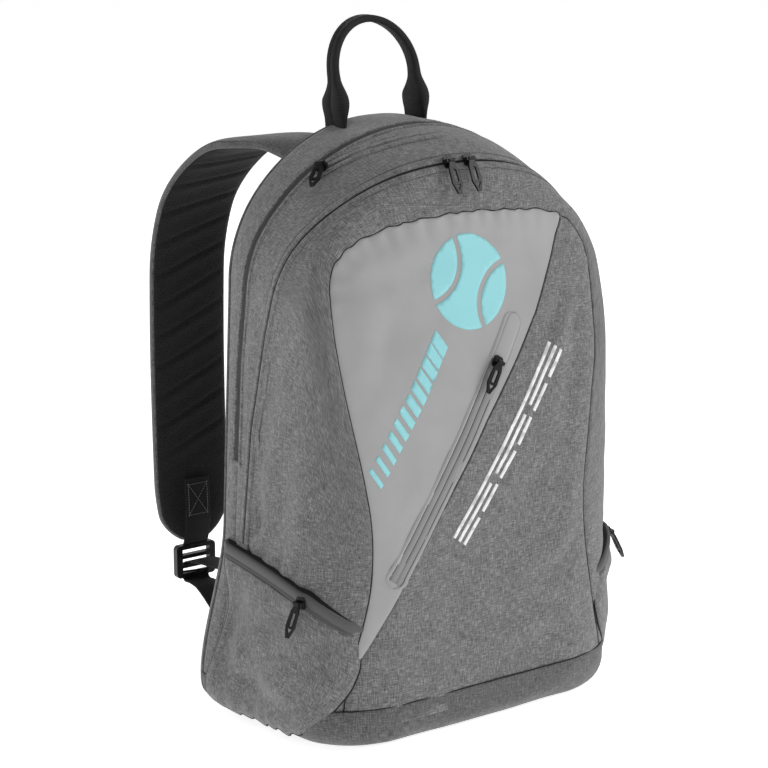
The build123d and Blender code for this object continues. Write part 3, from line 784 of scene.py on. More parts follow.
def settle(points, normals, *edges, dip=0.9):
    """Points moved by the crumple, calm and tucked in along sewn edges."""
    near = np.full(points.shape[:-1], 1e3)
    for edge in edges:
        near = np.minimum(near, edge)
    move = crumple(points) * smooth_step((near - 5) / 14) - dip * np.exp(-((near / 1.9) ** 2))
    pillow = 0.5 * (1 - np.exp(-near / 5))
    return points + normals * (move + pillow)[..., None]


# ---------------------------------------------------------------- walls between the seams
END_STEPS = np.array([0, 1.3, 2.8, 5.0, 8.5])


def strip(share, y_low, y_high, columns, middle):
    """Grid of the surface between two depths, one column per value of columns.
    share(y, k) is the arch share. Rows crowd towards both edges."""
    k = np.asarray(columns, float)
    fine = y_low + (y_high - y_low) * np.linspace(0, 1, 60)[:, None]
    fine = np.broadcast_to(fine, (60, len(k)))
    p = skin(fine, share(fine, k[None]))
    run = run_length(p)
    length = run[-1]
    ends = END_STEPS[:, None] * np.minimum(1, length / 26)
    inner = np.linspace(0, 1, middle + 2)[1:-1, None] * (length - 2 * ends[-1]) + ends[-1]
    at = np.concatenate([ends, inner, (length - ends)[::-1]])
    y = np.stack([np.interp(at[:, c], run[:, c], fine[:, c]) for c in range(len(k))], 1)
    s = share(y, k[None])
    points = skin(y, s)
    return points, skin_normal(y, s), at, length - at


def flat_places(points):
    """Places on the flat cloth of a grid: run along each row, then across the rows."""
    across = run_length(points)
    run = run_length(points[len(points) // 2])
    return np.stack([np.broadcast_to(run, across.shape), across, np.zeros_like(across)], -1)


def whole(y, k):
    """Arch share for columns that run all the way round."""
    return k * LOW_S


def upper(y, k):
    """Arch share for columns above the split height."""
    return k * share_at(y, SPLIT_Z)


def lower(side):
    """Arch share for columns of one side wall below the split height."""
    return lambda y, k: side * ((1 - k) * share_at(y, SPLIT_Z) + k * LOW_S)


def line_for(line, share, k):
    """Depth at which each column meets a side-view line."""
    y = np.zeros(len(k))
    for _ in range(8):
        y = line_depth(line, share(y, k))
    return y


def seam_for(share, k, y_back):
    """Depth at which each column meets the outline of the front panel."""
    low, high = np.full(len(k), FRONT_Y), np.array(y_back, float)
    for _ in range(24):
        mid = (low + high) / 2
        p = skin(mid, share(mid, k))
        inside = in_polygon(p[:, [0, 2]], FRONT_OUTLINE)
        low, high = np.where(inside, mid, low), np.where(inside, high, mid)
    return (low + high) / 2


def wall(name, share, y_low, y_high, columns, middle, **how):
    """One walled panel of the bag, settled and thickened."""
    points, normals, from_low, from_high = strip(share, y_low, y_high, columns, middle)
    moved = settle(points, normals, from_low, from_high)
    obj = panel(
        name, moved.reshape(-1, 3), normals.reshape(-1, 3), grid_faces(*points.shape[:2]), [HEATHER, LINING],
        flat_places(points).reshape(-1, 3), slot="heather_fabric", **how,
    )
    return obj, moved, normals


AROUND = np.linspace(-1, 1, 331)
ABOVE = np.linspace(-1, 1, 281)
BELOW = np.linspace(0, 1, 33)

y_main_above = line_for(MAIN_LINE, upper, ABOVE)
y_front_above = line_for(FRONT_LINE, upper, ABOVE)
y_seam_above = seam_for(upper, ABOVE, y_front_above)
y_main_around = line_for(MAIN_LINE, whole, AROUND)

gusset_rear, _, _ = wall(
    "gusset_rear", whole, y_main_around, np.full(len(AROUND), BACK_SEAM), AROUND, 4, body="root",
)
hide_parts("rear_gusset")
gusset_main, _, _ = wall(
    "gusset_main", upper, y_front_above, y_main_above, ABOVE, 14, body="main_flap",
)
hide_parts("main_gusset")
band_front, band_points, _ = wall(
    "band_front", upper, y_seam_above, y_front_above, ABOVE, 16,
)
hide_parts("front_band")

low_walls, seam_low = {}, {}
for side, sign in SIDES.items():
    share = lower(sign)
    y_main_low = line_for(MAIN_LINE, share, BELOW)
    y_seam_low = seam_for(share, BELOW, y_main_low)
    low_wall, low_points, _ = wall(f"side_wall_{side}", share, y_seam_low, y_main_low, BELOW, 26)
    low_walls[side], seam_low[side] = low_wall, low_points[0]
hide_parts("lower_body")


def with_fold(obj):
    """A lower piece: stays with the bag at its foot and follows the main flap at the split."""
    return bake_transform(obj, "root", "main_flap", start=(0, 0, 0.040), end=(0, 0, SPLIT_Z * MM))


def with_front(obj):
    """A piece of the front above the split: follows the main flap there and the front flap higher up."""
    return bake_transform(obj, "main_flap", "front_flap", start=(0, 0, SPLIT_Z * MM), end=(0, 0, 0.270))


for low_wall in low_walls.values():
    with_fold(low_wall)
with_front(band_front)

# ---------------------------------------------------------------- front face
border = np.concatenate([band_points[0], seam_low["right"][1:], seam_low["left"][:0:-1]])
# The outline again on the even form, in front view, in the same order.
even_above = skin(y_seam_above, upper(y_seam_above, ABOVE))
even_low = {}
for side, sign in SIDES.items():
    share = lower(sign)
    y_low = seam_for(share, BELOW, line_for(MAIN_LINE, share, BELOW))
    even_low[side] = skin(y_low, share(y_low, BELOW))
even = np.concatenate([even_above, even_low["right"][1:], even_low["left"][:0:-1]])
outline = even[:, [0, 2]]
foot_line = np.linspace(even_low["right"][-1][[0, 2]], even_low["left"][-1][[0, 2]], 70)[1:-1]
n_right = len(even_above) + len(BELOW) - 1
loop = np.concatenate([outline[:n_right], foot_line, outline[n_right:]])
seam_only = np.concatenate([outline[n_right:], outline[:n_right]])


def along_line(line, step):
    """Points of a polyline a given step apart."""
    out = [line[0]]
    for a, b in zip(line, line[1:]):
        count = max(1, int(math.dist(a, b) / step))
        out += [a + (b - a) * (i + 1) / count for i in range(count)]
    return np.array(out)


def offset_points(line, distances):
    """Points beside a polyline at the given distances."""
    d = unit(np.gradient(line, axis=0))
    side = np.stack([-d[:, 1], d[:, 0]], 1)
    return np.concatenate([line + side * k for k in distances])


def hex_points(low, high, step):
    """Evenly staggered points over a box."""
    rows = []
    for i, z in enumerate(np.arange(low[1], high[1], step * 0.87)):
        x = np.arange(low[0] + (step / 2 if i % 2 else 0), high[0], step)
        rows.append(np.stack([x, np.full(len(x), z)], 1))
    return np.concatenate(rows)


def triangulate(outline_points, lines, extra, keep_off=1.5):
    """Triangles inside an outline, with the lines among their edges."""
    points, edges = [], []

    def add_line(line, is_loop):
        """Adds a polyline as edges that the triangles keep to."""
        base = len(points)
        points.extend(line)
        count = len(line)
        edges.extend((base + i, base + (i + 1) % count) for i in range(count if is_loop else count - 1))

    add_line(outline_points, True)
    for line in lines:
        add_line(line, False)
    far = in_polygon(extra, outline_points)
    for line in [closed(outline_points)] + list(lines):
        distance, _ = segment_distance(extra, line)
        far &= distance > keep_off
    kept, seen = [], set()
    for p in extra[far]:
        key = (round(p[0] / 1.1), round(p[1] / 1.1))
        if key not in seen:
            seen.add(key)
            kept.append(p)
    points.extend(kept)
    verts, _, faces, origin, _, _ = delaunay_2d_cdt([Vector(p) for p in points], edges, [], 0, 1e-4)
    verts = np.array([tuple(v) for v in verts])
    faces = np.array([tuple(f) for f in faces if len(f) == 3])
    middle = verts[faces].mean(1)
    return verts, faces[in_polygon(middle, outline_points)], origin


def filled(corners, edge_step, step, keep_off, box=None):
    """Triangles over the flat shape with these corners: points, faces and its border."""
    border_line = along_line(closed(corners), edge_step)[:-1]
    low, high = box or (border_line.min(0), border_line.max(0))
    flat, faces, _ = triangulate(border_line, [], hex_points(low, high, step), keep_off)
    return flat, [tuple(f) for f in faces], border_line


diagonal_line = along_line(LIGHT_EDGE, 3.0)
split_line = np.linspace(outline[0], outline[len(ABOVE) - 1], 90)[1:-1]
seeds = np.concatenate([
    hex_points((-140, 22), (140, 436), 4.0),
    offset_points(diagonal_line, (-3.0, -1.6, 1.6, 3.0)),
    offset_points(seam_only, (-3.2, -1.7, 1.7, 3.2)),
])
flat_verts, flat_faces, flat_origin = triangulate(loop, [diagonal_line, split_line], seeds)
flat_x, flat_z = flat_verts.T
face_points = np.stack([flat_x, front_depth(flat_x, flat_z), flat_z], 1)
face_normals = front_normal(flat_x, flat_z)
seam_gap, seam_run = segment_distance(flat_verts, seam_only)
light_gap, _ = segment_distance(flat_verts, LIGHT_EDGE)


def front_move(xz, seam_distance, run, light_distance):
    """Outward movement of the front face: crumple, tucked seams and puckers under the top seam."""
    x, z = xz[:, 0], xz[:, 1]
    points = np.stack([x, front_depth(x, z), z], 1)
    near = seam_distance
    move = crumple(points) * smooth_step((near - 5) / 14) - 0.9 * np.exp(-((near / 1.9) ** 2))
    move += 0.5 * (1 - np.exp(-near / 5)) - 0.45 * np.exp(-((light_distance / 1.3) ** 2))
    at_top = smooth_step((z - 330) / 50) * np.exp(-near / 11) * smooth_step(near / 2.5)
    pucker = np.sin(run * 2 * math.pi / 17 + 1.6 * np.sin(run / 23))
    return move + 1.15 * at_top * pucker


moved = face_points + face_normals * front_move(flat_verts, seam_gap, seam_run, light_gap)[:, None]
border_index = {i: i if i < n_right else i - len(foot_line) for i in range(len(loop))
                if i < n_right or i >= n_right + len(foot_line)}
for v, sources in enumerate(flat_origin):
    for source in sources:
        if source in border_index:
            moved[v] = border[border_index[source]]

centre = flat_verts[flat_faces].mean(1)
is_light = centre[:, 0] < np.interp(centre[:, 1], LIGHT_EDGE[::-1, 1], LIGHT_EDGE[::-1, 0])
is_upper = centre[:, 1] > SPLIT_Z
for name, pick, fabric, node_name, slot in (
    ("front_dark_upper", ~is_light & is_upper, HEATHER, "front_panel", "heather_fabric"),
    ("front_dark_lower", ~is_light & ~is_upper, HEATHER, None, "heather_fabric"),
    ("front_light_upper", is_light & is_upper, COATED, "light_panel", "light_fabric"),
    ("front_light_lower", is_light & ~is_upper, COATED, "light_panel_tip", "light_fabric"),
):
    used = np.unique(flat_faces[pick])
    renumber = {v: i for i, v in enumerate(used)}
    faces = [tuple(renumber[v] for v in f) for f in flat_faces[pick]]
    cloth = np.stack([flat_verts[used, 0], flat_verts[used, 1], 0 * used], 1)
    piece = panel(name, moved[used], face_normals[used], faces, [fabric, LINING], cloth, slot=slot)
    if node_name:
        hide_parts(node_name)
    if name.endswith("upper"):
        with_front(piece)
    else:
        with_fold(piece)


def on_front(xz, lift):
    """Points and normals just above the settled front face."""
    xz = np.asarray(xz, float)
    gap_seam, run = segment_distance(xz, seam_only)
    gap_light, _ = segment_distance(xz, LIGHT_EDGE)
    normals = front_normal(xz[:, 0], xz[:, 1])
    points = np.stack([xz[:, 0], front_depth(xz[:, 0], xz[:, 1]), xz[:, 1]], 1)
    return points + normals * (front_move(xz, gap_seam, run, gap_light) + lift)[:, None], normals


# ---------------------------------------------------------------- foot of the bag and back panel
def band_ring(z, grow):
    """Horizontal outline of the bag at height z, as points and outward directions."""
    count = 300
    angle = np.linspace(0, 2 * math.pi, count, endpoint=False)
    way = np.stack([np.sin(angle) * 1.25, -np.cos(angle)], 1)
    low, high = np.zeros(count), np.full(count, 220.0)
    for _ in range(26):
        mid = (low + high) / 2
        x, y = way[:, 0] * mid, way[:, 1] * mid
        outside = (gap(x, np.clip(y, FRONT_Y, BACK_Y), np.full(count, z)) > 0) | (y < FRONT_Y) | (y > BACK_Y)
        low, high = np.where(outside, low, mid), np.where(outside, mid, high)
    ring = way * low[:, None]
    for _ in range(3):
        ring = (np.roll(ring, 1, 0) + 2 * ring + np.roll(ring, -1, 0)) / 4
    tangent = np.roll(ring, -1, 0) - np.roll(ring, 1, 0)
    normal = unit(np.stack([tangent[:, 1], -tangent[:, 0]], 1))
    normal *= np.sign(np.einsum("ij,ij->i", normal, ring))[:, None]
    return ring + normal * grow, normal


# Height and standing-out of the band's rings, from the seam down to the rounded edge.
BAND_LEVELS = [
    (35.2, -0.6), (34.6, 0.9), (33.0, 1.5), (29, 1.5), (24, 1.4), (18, 1.3), (13, 1.2), (9, 1.1), (6, 1.0), (4, 0.9),
]
UNDERSIDE_Z = 2.0
rings = []
for z, grow in BAND_LEVELS:
    ring, normal = band_ring(max(z, 3.2), grow)
    height = np.full(len(ring), float(z))
    sag = 0.9 * ripples(np.column_stack([ring, height]), 60, 21) * smooth_step((33 - z) / 8)
    rings.append(np.column_stack([ring + normal * sag[:, None], height]))
last = rings[-1]
for shrink, z in ((0.985, 2.6), (0.96, 2.1), (0.90, 2.0), (0.6, 2.0), (0.3, 2.0), (0.06, 2.0)):
    rings.append(np.column_stack([last[:, :2] * shrink, np.full(len(last), z)]))
rings = np.array(rings)
n_level, n_ring = rings.shape[:2]
band_verts = np.vstack([rings.reshape(-1, 3), [[0, 0, UNDERSIDE_Z]]])
apex, inmost = len(band_verts) - 1, (n_level - 1) * n_ring
band_faces = grid_faces(n_level, n_ring, wrap=True)
band_faces += [(inmost + c, inmost + (c + 1) % n_ring, apex) for c in range(n_ring)]
band_normals = unit(band_verts - np.array([0, 0, 60]))
ring_run = run_length(rings[3])
band_places = np.stack(np.broadcast_arrays(ring_run[None], -rings[:, :1, 2], np.zeros((n_level, n_ring))), -1)
band_cloth = np.vstack([band_places.reshape(-1, 3), [[0, 0, 0]]])
foot_band = panel(
    "foot_band", band_verts, band_normals, band_faces, [HEATHER_DARK, LINING], band_cloth, body="root",
    slot="heather_fabric", thickness=2.0,
)
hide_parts("bottom_band")

# Back panel: a padded face of air mesh inside a rolled edge.
BACK_ROLL = ((0.0, BACK_SEAM), (0.6, 77.0), (1.6, 79.6), (3.2, 81.6), (6.0, 82.6), (11.0, BACK_FACE))
back_arch = np.linspace(-LOW_S, LOW_S, 221)
back_depth = np.full(len(back_arch), BACK_SEAM)
back_seam_points, back_seam_normals = skin(back_depth, back_arch), skin_normal(back_depth, back_arch)
toward = np.array([0, 0, 250.0]) - back_seam_points
toward[:, 1] = 0
toward = unit(toward)
back_grid = np.array([back_seam_points + toward * inset for inset, _ in BACK_ROLL])
back_grid[..., 1] = np.array([y for _, y in BACK_ROLL])[:, None]
inward, upright = (np.linspace(a, b, len(BACK_ROLL))[:, None, None] for a, b in ((1, 0), (0.1, 1)))
back_normals = unit(-toward * inward + np.array([0, 1, 0]) * upright)
panel(
    "back_rim", back_grid.reshape(-1, 3), back_normals.reshape(-1, 3), grid_faces(*back_grid.shape[:2]),
    [HEATHER, LINING], flat_places(back_grid).reshape(-1, 3), body="root", slot="heather_fabric",
)
back_loop = back_grid[-1][:, [0, 2]]
back_loop = np.concatenate([back_loop, np.linspace(back_loop[-1], back_loop[0], 60)[1:-1]])
back_flat, back_faces, _ = triangulate(back_loop, [], hex_points((-150, 20), (150, 480), 7.0), 3.0)
back_gap, _ = segment_distance(back_flat, closed(back_loop))
back_3d = np.stack([back_flat[:, 0], np.full(len(back_flat), BACK_FACE), back_flat[:, 1]], 1)
back_3d[:, 1] += 0.5 * ripples(back_3d, 50, 31) * smooth_step(back_gap / 12)
back_cover = panel(
    "back_cover", back_3d, facing((0, 1, 0), len(back_3d)), [tuple(f) for f in back_faces],
    [MESH, LINING], back_3d[:, [0, 2, 1]], body="root", slot="air_mesh",
)
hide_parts("back_panel")
# Unit circle of piping and rolled edges.
ROUND = [(math.cos(a), math.sin(a)) for a in np.linspace(0, 2 * math.pi, 9)[:-1]]


def tube(radius):
    """Round profile for piping."""
    return [(radius * c, radius * s) for c, s in ROUND]


sweep("back_piping", back_seam_points - back_seam_normals * 0.1, back_seam_normals, tube(1.5), HEATHER_DARK,
      "root")


# ---------------------------------------------------------------- zips
def zip_path(line, reach, count):
    """A side-view line over the arch, between the shares -reach and reach: points and outward directions."""
    s = np.linspace(-reach, reach, count)
    y = line_depth(line, s)
    return skin(y, s), skin_normal(y, s)


def share_for_height(line, z):
    """Arch share at which a line reaches height z on the right side."""
    low, high = 0.1, LOW_S
    for _ in range(40):
        mid = (low + high) / 2
        y = line_depth(line, np.array([mid]))
        if skin(y, np.array([mid]))[0, 2] > z:
            low = mid
        else:
            high = mid
    return (low + high) / 2


LIP = [(6.6, -0.6), (6.4, 0.25), (5.2, 0.85), (3.4, 1.05), (2.2, 1.15), (1.45, 0.9), (1.15, 0.2), (1.15, -0.9)]
WIDE_LIP = [(7.4, -0.6), (7.2, 0.4), (6.4, 1.2), (5.2, 1.5), (4.2, 1.3), (3.7, 0.5), (3.7, -0.9)]


def flip(profile):
    """A profile turned to the other side of its path."""
    return [(-a, h) for a, h in profile][::-1]


HALVES = {"rear": 1, "front": -1}
STITCH_PITCH, STITCH = 3.4, (2.3, 0.45, 0.4)


def both_halves(name, bodies, build):
    """One kind of piece on the rear and the front half of a zip. A half without a body goes with the front."""
    made = {}
    for (end, way), body in zip(HALVES.items(), bodies):
        made[end] = build(f"{name}_{end}", way, body)
        if body is None:
            with_front(made[end])
    return made


def long_zip(name, line, reach, count, bodies, lip, tape, tape_finish, tooth, tooth_finish, stitch_at):
    """Both halves of a long zip. tooth is (pitch, size, across, lift)."""
    path, up = zip_path(line, reach, count)
    pitch, size, across, lift = tooth

    def strip_of(profile, finish):
        """Builds one half of a swept strip."""
        return lambda n, way, body: sweep(n, path, up, profile if way > 0 else flip(profile), finish, body)

    def row_of(finish, pitch, size, across, lift):
        """Builds one half's row of teeth or stitches."""
        return lambda n, way, body: beads(n, path, up, finish, body, pitch, size, [(way * across, lift)], 0)

    both_halves(f"{name}_zip_lip", bodies, strip_of(lip, HEATHER))
    tapes = both_halves(f"{name}_zip_tape", bodies, strip_of(tape, tape_finish))
    both_halves(f"{name}_zip_teeth", bodies, row_of(tooth_finish, pitch, size, across, lift))
    both_halves(f"{name}_zip_stitch", bodies,
                row_of(THREAD, STITCH_PITCH, STITCH, stitch_at, 0.05))
    for end, tape_piece in tapes.items():
        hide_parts(f"{name}_zip_{end}")


main_share = share_for_height(MAIN_LINE, MAIN_END)
front_share = share_for_height(FRONT_LINE, FRONT_END)
WIDE_TAPE = [(0.12, -0.9), (0.12, 0.35), (1.4, 0.62), (2.8, 0.5), (3.9, 0.2), (3.9, -0.9)]
THIN_TAPE = [(0.1, -1.3), (0.1, -0.2), (0.9, -0.1), (1.9, -0.2), (1.9, -1.3)]
long_zip("main", MAIN_LINE, main_share, 320, ("root", "main_flap"), WIDE_LIP, WIDE_TAPE, TAPE_GREY,
         (1.7, (1.0, 1.2, 0.35), 0.75, 0.42), TEETH_GREY, 8.4)
long_zip("front", FRONT_LINE, front_share, 300, ("main_flap", None), LIP, THIN_TAPE, TAPE_BLACK_AND_PAINTED_SHADE,
         (1.5, (0.9, 0.8, 0.4), 0.5, -0.15), TEETH, 7.6)

# Accessory zip: the share at which its line is SHORT_HALF from the middle.
shares = np.linspace(0.05, 0.4, 200)
short_share = shares[np.argmax(skin(line_depth(SHORT_LINE, shares), shares)[:, 0] >= SHORT_HALF)]
path, up = zip_path(SHORT_LINE, short_share, 120)
sweep("accessory_lip_rear", path, up, LIP, HEATHER, "main_flap")
sweep("accessory_lip_front", path, up, flip(LIP), HEATHER, "main_flap")
both_tapes = [(-1.6, -1.3), (-1.6, -0.2), (-0.9, -0.1), (0.9, -0.1), (1.6, -0.2), (1.6, -1.3)]
accessory_tape = sweep("accessory_tape", path, up, both_tapes, TAPE_BLACK_AND_PAINTED_SHADE, "main_flap")
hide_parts("accessory_zip")
beads("accessory_teeth", path, up, TEETH, "main_flap", 1.5, (0.9, 0.8, 0.4), [(0.5, -0.15), (-0.5, -0.15)], 0.5)
beads("accessory_stitch", path, up, THREAD, "main_flap", STITCH_PITCH, STITCH, [(7.6, 0.05), (-7.6, 0.05)], 0)

# Stitched ends of the long zips.
END_TAB = [(-2.2, -0.8), (-2.0, 1.2), (0, 1.5), (2.0, 1.2), (2.2, -0.8)]
for line, reach, name, body in (
    (MAIN_LINE, main_share, "main", "root"), (FRONT_LINE, front_share, "front", "main_flap"),
):
    for side, sign in SIDES.items():
        y, s = line_depth(line, np.array([reach])), np.array([sign * reach])
        out = skin_normal(y, s)[0]
        tab_path = skin(y, s)[0] + out * 0.2 + np.linspace(-7.5, 7.5, 9)[:, None] * np.array([0, 1, 0])
        sweep(f"{name}_zip_end_{side}", tab_path, facing(out, 9), END_TAB, HEATHER, body)

# Diagonal pocket: a welded band with its zip sunk in it, under a longer tab at the top.
pocket_length = math.dist(POCKET_TOP, POCKET_END)
down = (POCKET_END - POCKET_TOP) / pocket_length
run_points = np.array([POCKET_TOP + down * (d - 40) for d in np.linspace(0, pocket_length + 45, 110)])
zip_line, zip_up = on_front(run_points, 0)
place = np.linspace(0, pocket_length + 45, 110)
end_round = 1.0
for to_end in (place, place[::-1]):
    end_round = end_round * np.sqrt(np.clip(1 - np.clip((8 - to_end) / 8, 0, 1) ** 2, 0.02, 1))
along, across = frames(zip_line, zip_up)


def welded(name, half_widths, heights, finish, first=0, last=None):
    """A low strip on the front face, either welded fabric or a strip of painted shade, its width following
    half_widths.
    """
    part = slice(first, last)
    rows = [zip_line[part] + across[part] * (half_widths[part] * share)[:, None] + zip_up[part] * lift
            for share, lift in heights]
    grid = np.array(rows).transpose(1, 0, 2)
    n, m = grid.shape[:2]
    faces = grid_faces(n, m, wrap=True) + [tuple(range(m)), tuple(range((n - 1) * m, n * m))[::-1]]
    cloth = np.stack(np.broadcast_arrays(place[part][:, None], np.linspace(0, 20, m)[None], np.zeros((n, m))), -1)
    obj = make(name, grid.reshape(-1, 3), faces, [finish], None, None, cloth.reshape(-1, 3))
    return with_front(fix_normals(obj))


# A low rim on each side, with the two halves of the zip tape sunk between them.
rim_profile = [
    (-1, -0.6), (-0.97, 0.15), (-0.9, 0.6), (-0.82, 0.85), (-0.72, 0.8), (-0.65, 0.35), (-0.62, -0.15),
    (0.62, -0.15), (0.65, 0.35), (0.72, 0.8), (0.82, 0.85), (0.9, 0.6), (0.97, 0.15), (1, -0.6),
]
tape_profile = [
    (-1, -0.3), (-0.97, 0.2), (-0.5, 0.42), (-0.07, 0.36), (-0.03, -0.1), (0.03, -0.1), (0.07, 0.36),
    (0.5, 0.42), (0.97, 0.2), (1, -0.3),
]
welded("pocket_rim", 10.6 * end_round, rim_profile, COATED)
pocket_tape = welded("pocket_tape", 6.3 * end_round, tape_profile, COATED_DARK, 14, 108)
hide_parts("diagonal_zip")
# Black strip at the bottom of the slit between the tape halves: painted shade in the slit.
welded("pocket_slit_painted_shade", 0.45 * end_round, [(-1, -0.1), (-1, 0.12), (1, 0.12), (1, -0.1)], TAPE_BLACK_AND_PAINTED_SHADE, 18, 100)
# Black strips in the grooves between the tape and the rims: painted shade in the grooves.
groove_profile = [(-0.3, -0.4), (-0.3, 0.14), (0.3, 0.14), (0.3, -0.4)]
for side, sign in SIDES.items():
    groove = zip_line + across * (6.55 * sign * end_round)[:, None]
    with_front(sweep(f"pocket_groove_painted_shade_{side}", groove[12:108], zip_up[12:108], groove_profile, TAPE_BLACK_AND_PAINTED_SHADE, None))
garage = welded(
    "pocket_garage", 7.6 * end_round,
    [(-1, 0.2), (-0.95, 0.8), (-0.6, 1.15), (0, 1.25), (0.6, 1.15), (0.95, 0.8), (1, 0.2)], COATED, 0, 20,
)
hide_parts("zip_garage")
with_front(beads("pocket_stitches", zip_line[5:106], zip_up[5:106], THREAD_LIGHT, None, 2.6, (1.5, 0.4, 0.25),
                 [(8.9, 0.72), (-8.9, 0.72)], 0))


# ---------------------------------------------------------------- prints on the front
PRINT_LIFT, PRINT_THICK = 0.22, 0.3


def print_piece(name, polygons, ink):
    """Thin ink shapes given as front-view outlines, following the cloth."""
    verts, faces, cloth = [], [], []
    for polygon in polygons:
        flat, tris, _ = filled(polygon, 2.5, 4.0, 1.2)
        top, normals = on_front(flat, PRINT_LIFT)
        tris = outward(top, normals, tris)
        shell, shell_faces, _ = thicken(top, normals, tris, PRINT_THICK)
        faces += [tuple(i + len(verts) for i in f) for f in shell_faces]
        verts.extend(shell)
        cloth.extend(np.column_stack([np.vstack([flat, flat]), np.zeros(2 * len(flat))]))
    with_front(make(name, np.array(verts), faces, [ink], None, None, np.array(cloth)))


def disc(cx, cz, r, start, end, count):
    """Points on an arc of a circle."""
    a = np.linspace(start, end, count, endpoint=end - start < 6.2)
    return np.stack([cx + r * np.cos(a), cz + r * np.sin(a)], 1)


# Generic ball: a disc cut by two curved seams, in three pieces.
BALL = (-6.0, 370.0)
BALL_R = 38.0
SEAM_R = 36.0
SEAM_SHIFT = 49.0
SEAM_GAP = 2.2


def ball_pieces():
    """Outlines of the ball's middle and of its two caps, turned to lie along the diagonal."""
    tilt = math.radians(-28)
    c, s = math.cos(tilt), math.sin(tilt)

    def crossing(r):
        """Angles at which a seam of radius r meets the edge, about the ball and about the seam."""
        x = (SEAM_SHIFT**2 + BALL_R**2 - r * r) / (2 * SEAM_SHIFT)
        y = math.sqrt(BALL_R**2 - x * x)
        return math.atan2(y, x), math.atan2(y, x - SEAM_SHIFT)

    def cap(direction):
        """The part of the ball beyond one seam."""
        r = SEAM_R - SEAM_GAP
        outer, inner = crossing(r)
        edge = disc(0, 0, BALL_R, -outer, outer, 30)
        seam = disc(SEAM_SHIFT, 0, r, inner, 2 * math.pi - inner, 30)
        return np.vstack([edge, seam[1:-1]]) * np.array([direction, 1])

    def middle():
        """The part of the ball between its two seams."""
        r = SEAM_R + SEAM_GAP
        outer, inner = crossing(r)
        top = disc(0, 0, BALL_R, outer, math.pi - outer, 30)
        left = disc(-SEAM_SHIFT, 0, r, math.pi - inner, inner - math.pi, 30)
        bottom = disc(0, 0, BALL_R, math.pi + outer, 2 * math.pi - outer, 30)
        right = disc(SEAM_SHIFT, 0, r, 2 * math.pi - inner, inner, 30)
        return np.vstack([top, left[1:-1], bottom, right[1:-1]])

    turn = np.array([[c, s], [-s, c]])
    return [piece @ turn + np.array(BALL) for piece in (cap(1), cap(-1), middle())]


print_piece("print_ball", ball_pieces(), TEAL)

# Row of slanting bars that narrow towards the seam.
bars = []
BAR_START, BAR_PITCH = np.array((-44.3, 336.7)), np.array((-6.32, -9.08))
BAR_LONG, ROW_WAY = np.array((10.1, -15.2)), np.array((-0.57, -0.82))
for i in range(12):
    corner = BAR_START + BAR_PITCH * i
    wide = ROW_WAY * (10.2 - 0.56 * i)
    bars.append(np.array([corner, corner + BAR_LONG, corner + BAR_LONG + wide, corner + wide]))
print_piece("print_bars", bars, TEAL)

# Plain white line pattern beside the diagonal.
dashes = []
start, stop = np.array((-36.0, 166.0)), np.array((70.0, 312.0))
reach = math.dist(start, stop)
way = (stop - start) / reach
cross = np.array((way[1], -way[0]))
for offset, pieces_long in ((0.0, (1.0,)), (6.5, (0.30, 0.30, 0.30)), (13.0, (0.14,) * 6)):
    space = (1 - sum(pieces_long)) / max(1, len(pieces_long) - 1)
    at = 0.0
    for share_long in pieces_long:
        a = start + way * reach * at + cross * offset
        b = start + way * reach * (at + share_long) + cross * offset
        dashes.append(np.array([a - cross * 1.6, b - cross * 1.6, b + cross * 1.6, a + cross * 1.6]))
        at += share_long + space
print_piece("print_lines", dashes, WHITE)


# ---------------------------------------------------------------- side pockets
def on_side(y, z, lift):
    """Points off the right wall and their outward directions."""
    step = 0.8
    dy = (side_x(y + step, z) - side_x(y - step, z)) / (2 * step)
    dz = (side_x(y, z + step) - side_x(y, z - step)) / (2 * step)
    n = unit(np.stack([np.ones_like(dy), -dy, -dz], -1))
    return np.stack([side_x(y, z), y, z], -1) + n * np.asarray(lift)[..., None], n


def mouth_lift(y):
    """How far the pocket's mouth stands off the wall, so that its zip runs straight."""
    z = zip_height(y)
    held = np.clip(y, PARK_Y, -PARK_Y)
    ends = side_x(np.array([PARK_Y, -PARK_Y]), zip_height(np.array([PARK_Y, -PARK_Y])))
    straight = np.interp(held, [PARK_Y, -PARK_Y], ends) - side_x(held, z) + 6.2
    rise = smooth_step((y + 80) / 26) * smooth_step((70 - y) / 16)
    return 1.4 + (straight - 1.4) * rise - 3.6 * smooth_step((-75 - y) / 5)


a = np.linspace(0, 1, 57)[None]
b = np.concatenate([[0, 0.012, 0.03], np.linspace(0.06, 0.94, 38), [0.97, 0.988, 1]])[:, None]
rear_y = hermite(b, np.array([0, 0.3, 0.6, 0.85, 1]), np.array([60.0, 50, 56, 66, 68]))
front_y = hermite(b, np.array([0, 0.25, 0.5, 0.7, 0.85, 1]), np.array([-80.0, -79.5, -76.5, -70, -61, -47]))
pocket_y = rear_y + (front_y - rear_y) * a
scallop = 1.5 * np.sin(a * 2 * math.pi * 7 + 0.8) + 1.0 * np.sin(a * 2 * math.pi * 3.3)
top_z = zip_height(60 + (-80 - 60) * a) - 5.5
foot_z = 8.0 + scallop + 5 * (2 * a - 1) ** 4
pocket_z = top_z + (foot_z - top_z) * b
belly_out = 12.5 * np.sin(math.pi * a) ** 0.75 * np.sin(math.pi * np.clip(0.03 + 0.9 * b, 0, 1)) ** 0.9
mouth = (mouth_lift(pocket_y) - 0.6) * np.exp(-((b / 0.22) ** 2))
pocket_lift = 0.9 + belly_out + mouth
flat_yz = np.stack([np.full_like(pocket_y, 150.0), pocket_y, pocket_z], -1)
pocket_edge = np.minimum(np.minimum(a, 1 - a) * 138, (1 - b) * 115)
